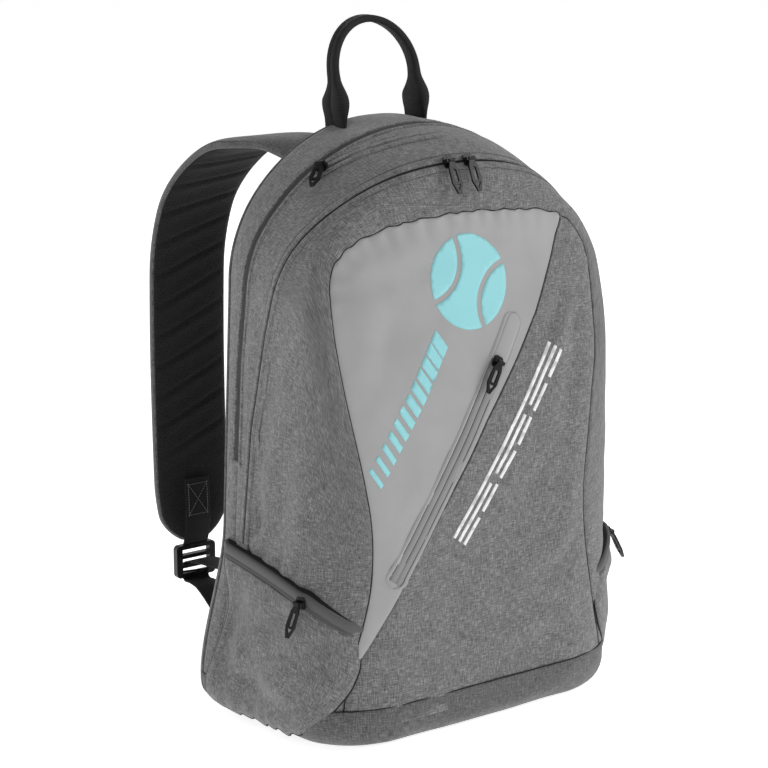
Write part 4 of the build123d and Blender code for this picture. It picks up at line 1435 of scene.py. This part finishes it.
POCKET_FOLDS = [
    (34, 92, -78, 40, 9, -2.0), (-46, 60, -62, 34, 8, -1.5), (-58, 88, -50, 22, 6, -1.3), (10, 40, 14, 40, 8, -1.2),
    (-20, 104, -24, 34, 7, -1.3), (48, 50, 88, 34, 8, -1.6), (-10, 70, -70, 44, 12, -1.1),
]
slack = 1.6 * folds(flat_yz[..., 1], flat_yz[..., 2], POCKET_FOLDS, ripples(flat_yz, 50, 41))
slack = slack + 0.8 * ripples(flat_yz, 55, 42) + 0.3 * ripples(flat_yz, 24, 43)
gathers = 1.3 * np.sin(a * 2 * math.pi * 8 + 1.1) * np.exp(-(((1 - b) / 0.10) ** 2))
pocket_lift = pocket_lift + (slack + gathers) * smooth_step(pocket_edge / 9) * smooth_step(b * 115 / 16)
pocket_points, pocket_normals = on_side(pocket_y, pocket_z, pocket_lift)
rows, columns = pocket_y.shape
pocket_faces = outward(pocket_points.reshape(-1, 3), pocket_normals.reshape(-1, 3), grid_faces(rows, columns))
pocket_cloth = flat_places(pocket_points).reshape(-1, 3)
verts, shell_faces, marks = thicken(pocket_points.reshape(-1, 3), pocket_normals.reshape(-1, 3), pocket_faces, 1.8)
side_pockets = make_pair(
    "side_pocket_cloth", verts, shell_faces, [HEATHER, LINING], "root", marks,
    np.vstack([pocket_cloth, pocket_cloth]),
)
border_path = np.concatenate([pocket_points[:, -1], pocket_points[-1, ::-1][1:]])
border_up = np.concatenate([pocket_normals[:, -1], pocket_normals[-1, ::-1][1:]])
sweep_pair("side_pocket_seam", border_path - border_up * 0.35, border_up, tube(0.75), BINDING, "root")
sweep_pair(
    "side_pocket_rear_seam", pocket_points[:, 0] - pocket_normals[:, 0] * 0.3, pocket_normals[:, 0], tube(0.8),
    HEATHER_DARK, "root",
)
mouth_y = np.linspace(65, -80, 90)
mouth_path, mouth_up = on_side(mouth_y, zip_height(mouth_y), mouth_lift(mouth_y))
ROLLED = [
    (-6.4, -3.2), (-6.3, 0.2), (-5.2, 1.3), (-3.0, 1.9), (-0.4, 1.5), (1.6, 0.8), (2.4, 0.2), (3.0, 0.7),
    (4.4, 1.1), (6.0, 0.7), (6.7, -0.4), (6.7, -3.2),
]
side_bands = sweep_pair("side_zip_band", mouth_path, mouth_up, ROLLED, TAPE_SIDE, "root")
# Black strip on the wall just above each side zip band: a painted shadow line under the overlapping fabric.
sweep_pair("side_zip_shade", mouth_path, mouth_up, [(-7.6, -7.5), (-7.2, -1.9), (-5.6, -0.6), (-5.4, -6.5)],
           TAPE_BLACK_AND_PAINTED_SHADE, "root")
bead_pair("side_zip_stitch", mouth_path[2:-2], mouth_up[2:-2], THREAD, "root", 3.2, (2.1, 0.45, 0.4),
          [(5.4, 0.95)], 0)
bead_pair("side_zip_teeth", mouth_path[3:-4], mouth_up[3:-4], TEETH_GREY, "root", 1.6, (0.9, 1.3, 0.35),
          [(2.3, 0.15)], 0)
for side in SIDES:
    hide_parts(f"side_pocket_{side}")
    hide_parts(f"side_zip_{side}")

# ---------------------------------------------------------------- shoulder straps
STATIONS = np.array([
    (50, 77.5, 458, 54, 6), (58, 108, 467, 66, 11), (74, 145, 463, 72, 12), (85, 180, 440, 72, 12),
    (94, 203, 403, 72, 12), (98, 212, 350, 72, 12), (98, 215, 250, 72, 12), (98, 214, 160, 72, 12),
    (98, 212, 126, 66, 12), (98, 210, 104, 52, 9),
], float)
station_run = run_length(STATIONS[:, :3])
strap_length = station_run[-1]
near_tip = strap_length - np.array([1, 2.5, 4.5, 7, 10, 14])
run = np.unique(np.concatenate([np.linspace(0, strap_length, 190), near_tip]))
path = np.stack([hermite(run, station_run, STATIONS[:, k]) for k in range(3)], 1)
path = smoothed(path, 14)
along = np.gradient(path, axis=0)
up = unit(np.stack([0 * run, -along[:, 2], along[:, 1]], 1))
half = hermite(run, station_run, STATIONS[:, 3]) / 2
TIP = 26.0
tip_share = np.clip((run - strap_length + TIP) / TIP, 0, 1)
half = half * np.sqrt(np.maximum(1 - tip_share**2 * 0.86, 0.01))
thick = hermite(run, station_run, STATIONS[:, 4]) / 2 * (1 - 0.35 * tip_share**3)
u = np.concatenate([np.linspace(-1, -0.86, 4), np.linspace(-0.78, 0.78, 21), np.linspace(0.86, 1, 4)])
crown = 1 - 0.55 * np.abs(u) ** 5
CREASE = 27.0


def strap_section(i):
    """Outline of the strap at one place: the outer face, then the inner face with its sewn creases."""
    over = np.stack([half[i] * u, thick[i] * crown * (1 + 0.05 * np.sin(run[i] / 31 + u))], 1)
    place = (run[i] + 0.42 * half[i] * u + 9) / CREASE
    dip = 2.6 * np.exp(-(((place - np.round(place)) * CREASE / 2.4) ** 2))
    dip *= smooth_step((run[i] - 60) / 50) * smooth_step((strap_length - 60 - run[i]) / 40) * (1 - np.abs(u) ** 6)
    puff = 1.3 * np.cos((place - np.round(place)) * 2 * math.pi) * (1 - u**2)
    under = np.stack([half[i] * u, -(thick[i] * crown + puff * (dip.max() > 0.1) * 0.6) + dip], 1)
    return np.concatenate([over, under[::-1][1:-1]])


sections = np.array([strap_section(i) for i in range(len(run))])
verts, faces, cloth = swept(path, up, sections)
n_round = sections.shape[1]
outer_count = len(u)


def on_outer_face(face):
    """Whether a face of the strap lies on its outer side."""
    columns = [v % n_round for v in face]
    return len(face) == 4 and max(columns) < outer_count and min(columns[:2]) < outer_count - 1


marks = [0 if on_outer_face(face) else 1 for face in faces]
row_run = np.repeat(run, n_round)
cloth = np.stack([row_run, sections[..., 0].ravel(), 0 * row_run], 1)
straps = make_pair(
    "shoulder_strap_pad", verts, faces, [HEATHER_STRAP, MESH], "strap_{side}", marks, cloth,
)
_, across = frames(path, up)
edge_left, edge_right = path + across * (half * 0.985)[:, None], path - across * (half * 0.985)[:, None]
binding_path = np.concatenate([edge_left, edge_right[::-1]])
binding_up = np.concatenate([up, up[::-1]])
sweep_pair("strap_binding", smoothed(binding_path, 3), binding_up, [(1.7 * c, 3.0 * s) for c, s in ROUND],
           HEATHER_STRAP, "strap_{side}")
for side in SIDES:
    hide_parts(f"shoulder_strap_{side}")

# Webbing tab sewn to the strap's inner face, holding the ladder lock.
tab = np.array([(98, 204.6, 162), (98, 203.9, 150), (98, 203.5, 136), (98, 203.7, 122), (98, 205.4, 110),
                (98, 208.6, 101), (98, 211, 97.5)], float)
tab, tab_up, _ = resample(tab, facing((0, -1, 0), len(tab)), 2.0)
WEB_24 = [(-12, -0.5), (-12, 0.5), (-11.4, 0.8), (11.4, 0.8), (12, 0.5), (12, -0.5), (11.4, -0.8), (-11.4, -0.8)]
tab_web = sweep_pair("adjuster_webbing", tab, tab_up, [(a * 1.04, h * 1.3) for a, h in WEB_24], WEBBING,
                     "strap_{side}")
for side in SIDES:
    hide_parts(f"adjuster_tab_{side}")
box = np.array([(88.5, 156), (107.5, 156), (107.5, 128), (88.5, 128), (88.5, 156), (107.5, 128), (107.5, 156),
                (88.5, 128)], float)
for k, (p, q) in enumerate(zip(box[[0, 1, 2, 3, 4, 6]], box[[1, 2, 3, 0, 5, 7]])):
    ends = np.linspace(p, q, 8)
    line = np.stack([ends[:, 0], np.interp(ends[:, 1], tab[::-1, 2], tab[::-1, 1]) - 1.0, ends[:, 1]], 1)
    bead_pair(f"adjuster_stitch_{k}", line, facing((0, -1, 0), 8), THREAD_LIGHT, "strap_{side}", 2.4,
              (1.7, 0.5, 0.35), [(0, 0)], 0)

# ---------------------------------------------------------------- webbing
tail = np.array([
    (98, 211, 82), (98, 207, 84.5), (98, 190, 88), (98, 165, 90.5), (98, 140, 93), (98, 128, 95),
], float)
tail, _, tail_run = resample(tail, facing((0, 0, 1), len(tail)), 2.0)
tail = smoothed(tail, 6)
tail_along = np.gradient(tail, axis=0)
tail_up = unit(np.stack([0 * tail_run, tail_along[:, 2], -tail_along[:, 1]], 1))
hem = 1 + 0.9 * smooth_step((tail_run - tail_run[-1] + 14) / 1.5)
tail_sections = np.array([[(a, h * f) for a, h in WEB_24] for f in hem])
tails = sweep_pair("tail_webbing", tail, tail_up, tail_sections, WEBBING, "tail_{side}")
hem_line = np.array([tail[-6] + np.array([x, 0, 0]) + tail_up[-6] * 1.4 for x in np.linspace(-10, 10, 6)])
bead_pair("tail_hem_stitch", hem_line, facing(tail_up[-6], 6), THREAD_BLACK, "tail_{side}", 2.4, (1.7, 0.5, 0.4),
          [(0, 0)], 0)
lower_flat = np.array([
    (0, 86, 47), (0, 108, 55), (0, 128, 63), (0, 150, 68), (0, 170, 71), (0, 190, 69.5), (0, 206, 66),
    (0, 210.5, 69), (0, 211, 74),
], float)
SPLAY = math.radians(14)
reach_y = lower_flat[:, 1] - 211
lower_line = np.stack([98 - math.sin(SPLAY) * reach_y, 211 + math.cos(SPLAY) * reach_y, lower_flat[:, 2]], 1)
lower_line, _, _ = resample(lower_line, facing((0, 0, 1), len(lower_line)), 2.0)
lower_line = smoothed(lower_line, 5)
lower_along = np.gradient(lower_line, axis=0)
lower_across = np.array([math.cos(SPLAY), math.sin(SPLAY), 0])
lower_up = unit(np.cross(lower_across, lower_along))
lowers = sweep_pair("lower_strap_webbing", lower_line, lower_up, WEB_24, WEBBING, "root")
for side in SIDES:
    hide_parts(f"webbing_tail_{side}")
    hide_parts(f"lower_webbing_{side}")

# Padded triangles that anchor the lower webbing in the back seam.
wedge_corners = np.array([(152, 66), (152, 27), (108, 34), (106, 62)], float)
wedge_flat, wedge_faces, wedge = filled(wedge_corners, 2.5, 4.0, 2.0, ((100, 20), (160, 70)))
wedge_gap, _ = segment_distance(wedge_flat, closed(wedge))
wedge_y = 84.6 + 2.2 * smooth_step(wedge_gap / 6)
wedge_points = np.stack([wedge_flat[:, 0], wedge_y, wedge_flat[:, 1]], 1)
wedge_up = facing((0, 1, 0), len(wedge_points))
wedge_faces = outward(wedge_points, wedge_up, wedge_faces)
verts, shell_faces, marks = thicken(wedge_points, wedge_up, wedge_faces, 2.6)
anchors = make_pair("anchor_wedge", verts, shell_faces, [HEATHER, LINING], "root", marks, verts[:, [0, 2, 1]])
for side in SIDES:
    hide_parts(f"webbing_anchor_{side}")
cross_line = np.array([(110, 87.2, 38), (110, 87.2, 58)], float)
bead_pair("anchor_stitch", cross_line, facing((0, 1, 0), 2), THREAD_LIGHT, "root", 2.4, (1.7, 0.5, 0.35),
          [(0, 0), (3, 0)], 0)

# ---------------------------------------------------------------- carry handle
theta = np.linspace(math.pi, 0, 46)
LEG, ARCH_Z, FEET_Z = 41.0, 525.0, 478.0
leg_z = np.arange(FEET_Z, ARCH_Z, 2.0)
arch = np.stack([LEG * np.cos(theta), ARCH_Z + 43 * np.sin(theta)], 1)
outline_xz = np.concatenate([
    np.stack([np.full(len(leg_z), -LEG), leg_z], 1), arch, np.stack([np.full(len(leg_z), LEG), leg_z[::-1]], 1),
])
lean = 17 * np.clip((outline_xz[:, 1] - 506) / 68, 0, 1) ** 1.4
foot_pull = 1.5 * np.exp(-(((outline_xz[:, 1] - FEET_Z) / 9) ** 2))
path = np.stack([outline_xz[:, 0], 66 + lean, outline_xz[:, 1] + foot_pull], 1)
flat_out = np.stack([np.gradient(outline_xz[:, 1]), -np.gradient(outline_xz[:, 0])], 1) * -1
up = unit(np.stack([flat_out[:, 0], 0 * lean, flat_out[:, 1]], 1))
narrow = smooth_step((outline_xz[:, 1] - 503) / 18)
folded = np.exp(-(((outline_xz[:, 1] - 502) / 13) ** 2))
half_wide, half_deep = 14 - 8.2 * narrow, 1.5 + 1.5 * narrow + 4.2 * folded
handle_shape = [
    (-1, -0.55), (-1, 0.55), (-0.86, 0.95), (-0.45, 1.0), (-0.06, 1.0), (0, 0.8), (0.06, 1.0), (0.45, 1.0),
    (0.86, 0.95), (1, 0.55), (1, -0.55), (0.86, -0.95), (-0.86, -0.95),
]
handle_sections = np.array([[(a * w, h * d) for a, h in handle_shape] for w, d in zip(half_wide, half_deep)])
handle = sweep("handle_webbing", path, up, handle_sections, WEBBING, None)
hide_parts("carry_handle", "handle_feet")
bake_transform(handle, "root", "handle", start=(0, 0, 0.494), end=(0, 0, 0.512))

# ---------------------------------------------------------------- padding on the back
SWELL_FRAMES, SWELL_VOXEL = 20, 0.005


def swell(obj, cap):
    """Puffs a closed shape as sewn foam: remeshed, blown up as cloth, held to a largest movement."""
    scene = bpy.context.scene
    remesh = obj.modifiers.new("voxels", "REMESH")
    remesh.mode = "VOXEL"
    remesh.voxel_size = SWELL_VOXEL
    fabric = obj.modifiers.new("fabric", "CLOTH")
    fabric.settings.use_pressure = True
    fabric.settings.uniform_pressure_force = 4
    fabric.settings.effector_weights.gravity = 0
    fabric.settings.quality = 6
    fabric.point_cache.frame_start = 1
    fabric.point_cache.frame_end = SWELL_FRAMES
    before = bpy.data.meshes.new_from_object(obj_without(obj, "fabric"))
    start = np.empty(len(before.vertices) * 3)
    before.vertices.foreach_get("co", start)
    for frame_number in range(1, SWELL_FRAMES + 1):
        scene.frame_set(frame_number)
    puffed = obj.evaluated_get(bpy.context.evaluated_depsgraph_get())
    end = np.empty(len(start))
    puffed.data.vertices.foreach_get("co", end)
    move = (end - start).reshape(-1, 3)
    size = np.linalg.norm(move, axis=1, keepdims=True)
    move *= np.minimum(1, cap * MM / np.maximum(size, 1e-9))
    before.vertices.foreach_set("co", (start.reshape(-1, 3) + move).ravel())
    obj.modifiers.clear()
    scene.frame_set(1)
    return before


def obj_without(obj, name):
    """The evaluated object with one modifier switched off."""
    modifier = obj.modifiers.get(name)
    if modifier:
        modifier.show_viewport = False
    bpy.context.view_layer.update()
    evaluated = obj.evaluated_get(bpy.context.evaluated_depsgraph_get())
    shape = bpy.data.objects.new("shape", bpy.data.meshes.new_from_object(evaluated))
    if modifier:
        modifier.show_viewport = True
    return shape


def back_pad(name, cx, cz, width, height, channels, node_name):
    """Foam pad covered in air mesh, with sewn channels across it."""
    angle = np.linspace(0, 2 * math.pi, 73)[:-1]
    corner = 18
    ring = np.stack([
        np.sign(np.cos(angle)) * (width / 2 - corner) + corner * np.cos(angle),
        np.sign(np.sin(angle)) * (height / 2 - corner) + corner * np.sin(angle),
    ], 1)
    layers = [(0.965, 83.2), (0.985, 84.2), (0.985, 87.6), (0.955, 89.2)]
    verts = np.concatenate([np.column_stack([cx + ring[:, 0] * s, np.full(len(ring), y), cz + ring[:, 1] * s])
                            for s, y in layers])
    faces = grid_faces(len(layers), len(ring), wrap=True)
    faces += [tuple(range(len(ring)))[::-1], tuple(range(3 * len(ring), 4 * len(ring)))]
    obj = fix_normals(make(name, verts, faces, [MESH], None, None, None))
    shape = swell(obj, 5.0)
    co = np.empty(len(shape.vertices) * 3)
    shape.vertices.foreach_get("co", co)
    co = co.reshape(-1, 3) / MM
    front = smooth_step((co[:, 1] - 86) / 3)
    edge = np.minimum(width / 2 - np.abs(co[:, 0] - cx), height / 2 - np.abs(co[:, 2] - cz))
    dip = np.zeros(len(co))
    for z in channels:
        dip += 3.2 * np.exp(-(((co[:, 2] - z - 0.10 * np.abs(co[:, 0] - cx)) / 2.6) ** 2))
    dip *= smooth_step((edge - 4) / 8)
    co[:, 1] = np.clip(co[:, 1] - dip * front, BACK_FACE, 96)
    shape.vertices.foreach_set("co", (co * MM).ravel())
    obj.data = shape
    detail = obj.modifiers.new("detail", "SUBSURF")
    detail.levels = 1
    detail.render_levels = 1
    bpy.context.view_layer.update()
    fine = bpy.data.meshes.new_from_object(obj.evaluated_get(bpy.context.evaluated_depsgraph_get()))
    obj.modifiers.clear()
    obj.data = fine
    fine.polygons.foreach_set("use_smooth", np.ones(len(fine.polygons), bool))
    co = np.empty(len(fine.vertices) * 3)
    fine.vertices.foreach_get("co", co)
    for old in [x for x in fine.attributes if x.name == "cloth"]:
        fine.attributes.remove(old)
    place = fine.attributes.new("cloth", "FLOAT_VECTOR", "POINT")
    place.data.foreach_set("vector", co.reshape(-1, 3)[:, [0, 2, 1]].astype(np.float32).ravel())
    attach(obj, "root")
    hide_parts(node_name)
    seam = np.column_stack([cx + ring[:, 0] * 0.99, np.full(len(ring), 84.4), cz + ring[:, 1] * 0.99])
    seam_out = unit(np.column_stack([ring[:, 0], 0 * angle, ring[:, 1]]))
    sweep(f"{name}_piping", closed(seam), closed(seam_out), tube(1.7), BINDING, "root")


back_pad("back_pad_left_cover", -62, 262, 96, 300, (172, 232, 292, 352), "back_pad_left")
back_pad("back_pad_right_cover", 62, 262, 96, 300, (172, 232, 292, 352), "back_pad_right")
back_pad("lumbar_pad_cover", 0, 75, 200, 62, (), "lumbar_pad")

yoke_corners = np.array([(-84, 447), (84, 447), (62, 418), (-62, 418)], float)
yoke_flat, yoke_faces, yoke = filled(yoke_corners, 3.0, 5.0, 2.5, ((-90, 410), (90, 450)))
yoke_gap, _ = segment_distance(yoke_flat, closed(yoke))
yoke_points = np.stack([yoke_flat[:, 0], 84.4 + 1.4 * smooth_step(yoke_gap / 5), yoke_flat[:, 1]], 1)
yoke_cover = panel("yoke_cover", yoke_points, facing((0, 1, 0), len(yoke_points)), yoke_faces,
                   [HEATHER, LINING], yoke_points[:, [0, 2, 1]], "root", "heather_fabric", 2.0)
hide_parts("strap_yoke")

# ---------------------------------------------------------------- inside
def inner_sheet(name, outline_points, depth_of, body, node_name):
    """A flat sewn panel of lining across the bag, as a closed sheet."""
    flat, faces, _ = filled(outline_points, 8.0, 11.0, 4.0)
    points = np.stack([flat[:, 0], depth_of(flat[:, 1]), flat[:, 1]], 1)
    points[:, 1] += 0.9 * ripples(points, 90, 51)
    piece = panel(name, points, facing((0, 1, 0), len(points)), faces, [LINING, LINING],
                  points[:, [0, 2, 1]], body, "lining", 1.4)
    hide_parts(node_name)


def wall_outline(y_of, low, high, inset):
    """Front-view outline of a partition between two heights, inset from the walls."""
    z = np.linspace(low, high, 24)
    x = side_x(y_of(z), z) - inset
    return np.vstack([np.stack([x, z], 1), np.stack([-x, z], 1)[::-1]])


def sleeve_y(z):
    """Depth of the laptop sleeve."""
    return np.full_like(z, 64.5)


def divide_y(z):
    """Depth of the wall between the two compartments: just behind the front zip."""
    return np.interp(z, FRONT_LINE[:, 1], FRONT_LINE[:, 0]) + 3.2


def lining_y(z):
    """Depth of the lining of the diagonal pocket."""
    return np.full_like(z, -62.2)


inner_sheet("laptop_sleeve_cloth", wall_outline(sleeve_y, 14, 276, 9), sleeve_y, "root", "laptop_sleeve")
inner_sheet("divider_lower_cloth", wall_outline(divide_y, 14, 147, 8), divide_y, "root", "divider_lower")
arch_s = np.linspace(-front_share, front_share, 90)
arch_y = line_depth(FRONT_LINE, arch_s)
arch_path = skin(arch_y, arch_s) - skin_normal(arch_y, arch_s) * 8
inner_sheet("divider_upper_cloth", arch_path[:, [0, 2]][::-1], divide_y, "main_flap", "divider_upper")
square = np.array([(-83, 147), (67, 147), (67, 297), (-83, 297)], float)
inner_sheet("pocket_lining_cloth", square, lining_y, "front_flap", "diagonal_pocket_lining")


# Folded fabric inside the main zip, which joins its halves when the flap opens.
def bellows(name, line, low, high, body_a, body_b):
    """Strips of lining inside a zip, from one body to the next."""
    for side, sign in SIDES.items():
        s_low, s_high = share_for_height(line, low), share_for_height(line, high)
        s = np.linspace(s_high, s_low, 60) * sign
        y = line_depth(line, s)
        depths = y + np.linspace(9, -9, 13)[:, None]
        ups = np.array([skin_normal(depth, s) for depth in depths])
        points = (np.array([skin(depth, s) for depth in depths]) - ups * 3.8).reshape(-1, 3)
        piece = panel(f"{name}_{side}", points, ups.reshape(-1, 3), grid_faces(*depths.shape), [LINING, LINING],
                      points, None, "lining", 1.0)
        middle = float(np.median(y))
        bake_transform(piece, body_a, body_b, start=(0, (middle + 5) * MM, 0), end=(0, (middle - 5) * MM, 0))


bellows("main_bellows", MAIN_LINE, 330, 60, "root", "main_flap")

# ---------------------------------------------------------------- seams of the front and the foot
_, seam_up = on_front(even_above[:, [0, 2]], 0)
seam_up = unit((seam_up + skin_normal(y_seam_above, upper(y_seam_above, ABOVE))) / 2)
with_front(sweep("front_seam", band_points[0] - seam_up * 0.25, seam_up, tube(0.6), THREAD_BLACK, None))
for side in SIDES:
    low_path = seam_low[side]
    with_fold(sweep(f"front_seam_low_{side}", low_path - np.array([0, -0.3, 0]), facing((0, -1, 0), len(low_path)),
                    tube(0.75), THREAD_BLACK, None))
light_run = along_line(LIGHT_EDGE, 3.0)
light_run = light_run[(light_run[:, 1] > SPLIT_Z) & in_polygon(light_run, FRONT_OUTLINE)]
light_3d, light_up = on_front(light_run, -0.1)
with_front(sweep("light_edge", light_3d, light_up, tube(0.42), THREAD_BLACK, None))
ridge_run = light_run + np.array([1.3, -0.9])
ridge_3d, ridge_up = on_front(ridge_run, 0.1)
ridge_profile = [(-1.3, -0.4), (-0.8, 0.3), (0, 0.5), (0.8, 0.3), (1.3, -0.4)]
with_front(sweep("light_edge_roll", ridge_3d, ridge_up, ridge_profile, HEATHER, None))

# Rolled topstitching in front of the front zip.
s = np.linspace(-front_share, front_share, 300)
y = line_depth(FRONT_LINE, s) - 11.5
roll = skin(y, s)
roll_up = skin_normal(y, s)
roll = settle(roll, roll_up) - roll_up * 0.3
roll_profile = [(-1.6, -0.5), (-1.1, 0.35), (0, 0.75), (1.1, 0.35), (1.6, -0.5)]
with_front(sweep("front_roll", roll, roll_up, roll_profile, HEATHER, None))

# Dark seam above the foot band.
ring, normal = band_ring(34.8, 0.9)
ring_path = np.column_stack([ring, np.full(len(ring), 34.9)])
ring_up = np.column_stack([normal, np.zeros(len(ring))])
sweep("foot_seam", ring_path - ring_up * 0.2, ring_up, tube(0.55), THREAD_BLACK, "root", True)

# ---------------------------------------------------------------- hard pieces from the CAD
for node_name, cad_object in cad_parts.items():
    if node_name.startswith(("zip_slider", "zip_pull")):
        finish = METAL
    elif node_name.startswith("ladder_lock"):
        finish = PLASTIC
    elif node_name == "base_panel":
        finish = BOARD
    else:
        continue
    cad_object.data.materials.clear()
    cad_object.data.materials.append(finish)

# ---------------------------------------------------------------- stage
LOOK_AT = Vector((0, 0, 0.25))
CAMERA_PLACE = (-1.2036, -1.5973, 0.760)
CAMERA_LENS, CAMERA_SHIFT = 115.8, (-0.052, 0.0326)
FLOOR_HALF = 12.0


def stage_scene():
    """Pale floor, soft studio light and the camera at the photograph's angle."""
    bpy.context.scene.view_settings.view_transform = "Standard"
    floor_mesh = bpy.data.meshes.new("floor")
    corners = [(x * FLOOR_HALF, y * FLOOR_HALF, 0) for x, y in ((-1, -1), (1, -1), (1, 1), (-1, 1))]
    floor_mesh.from_pydata(corners, [], [(0, 1, 2, 3)])
    floor = bpy.data.objects.new("floor", floor_mesh)
    bpy.context.scene.collection.objects.link(floor)
    floor_material, _ = material("floor_pale", grey(0.85), 0.75)
    floor_shader = floor_material.node_tree.nodes["Principled BSDF"]
    floor_shader.inputs["Emission Color"].default_value = (1, 1, 1, 1)
    floor_shader.inputs["Emission Strength"].default_value = 0.78
    floor_mesh.materials.append(floor_material)
    world = bpy.data.worlds.new("studio")
    world.use_nodes = True
    nodes, links = world.node_tree.nodes, world.node_tree.links
    way, parts = nodes.new("ShaderNodeTexCoord"), nodes.new("ShaderNodeSeparateXYZ")
    sky = nodes.new("ShaderNodeValToRGB")
    links.new(way.outputs["Generated"], parts.inputs[0])
    links.new(parts.outputs[2], sky.inputs[0])
    links.new(sky.outputs[0], nodes["Background"].inputs[0])
    sky.color_ramp.elements[0].color = (1, 1, 1, 1)
    sky.color_ramp.elements[1].color = (0.13, 0.13, 0.13, 1)
    for place, shade in ((0.05, 0.9), (0.22, 0.34)):
        sky.color_ramp.elements.new(place).color = (shade, shade, shade, 1)
    bpy.context.scene.world = world
    for name, place, size, power in (
        ("top", (0.2, -0.6, 3.2), 2.6, 14),
        ("key", (2.2, -1.6, 1.9), 1.2, 34),
        ("fill", (-2.4, -1.2, 1.3), 2.0, 4),
        ("rim", (1.4, 1.8, 1.8), 1.4, 14),
        ("back_left", (-1.5, 1.6, 1.4), 1.4, 8),
    ):
        light = bpy.data.lights.new(name, "AREA")
        light.shape = "DISK"
        light.size = size
        light.energy = power
        lamp = bpy.data.objects.new(name, light)
        lamp.location = place
        lamp.rotation_euler = (LOOK_AT - Vector(place)).to_track_quat("-Z", "Y").to_euler()
        bpy.context.scene.collection.objects.link(lamp)
    view = bpy.data.cameras.new("camera")
    view.lens = CAMERA_LENS
    view.sensor_width = 36
    view.shift_x, view.shift_y = CAMERA_SHIFT
    camera = bpy.data.objects.new("camera", view)
    camera.location = CAMERA_PLACE
    aim = LOOK_AT - camera.location
    camera.rotation_euler = aim.to_track_quat("-Z", "Y").to_euler()
    bpy.context.scene.collection.objects.link(camera)
    bpy.context.scene.camera = camera


stage_scene()
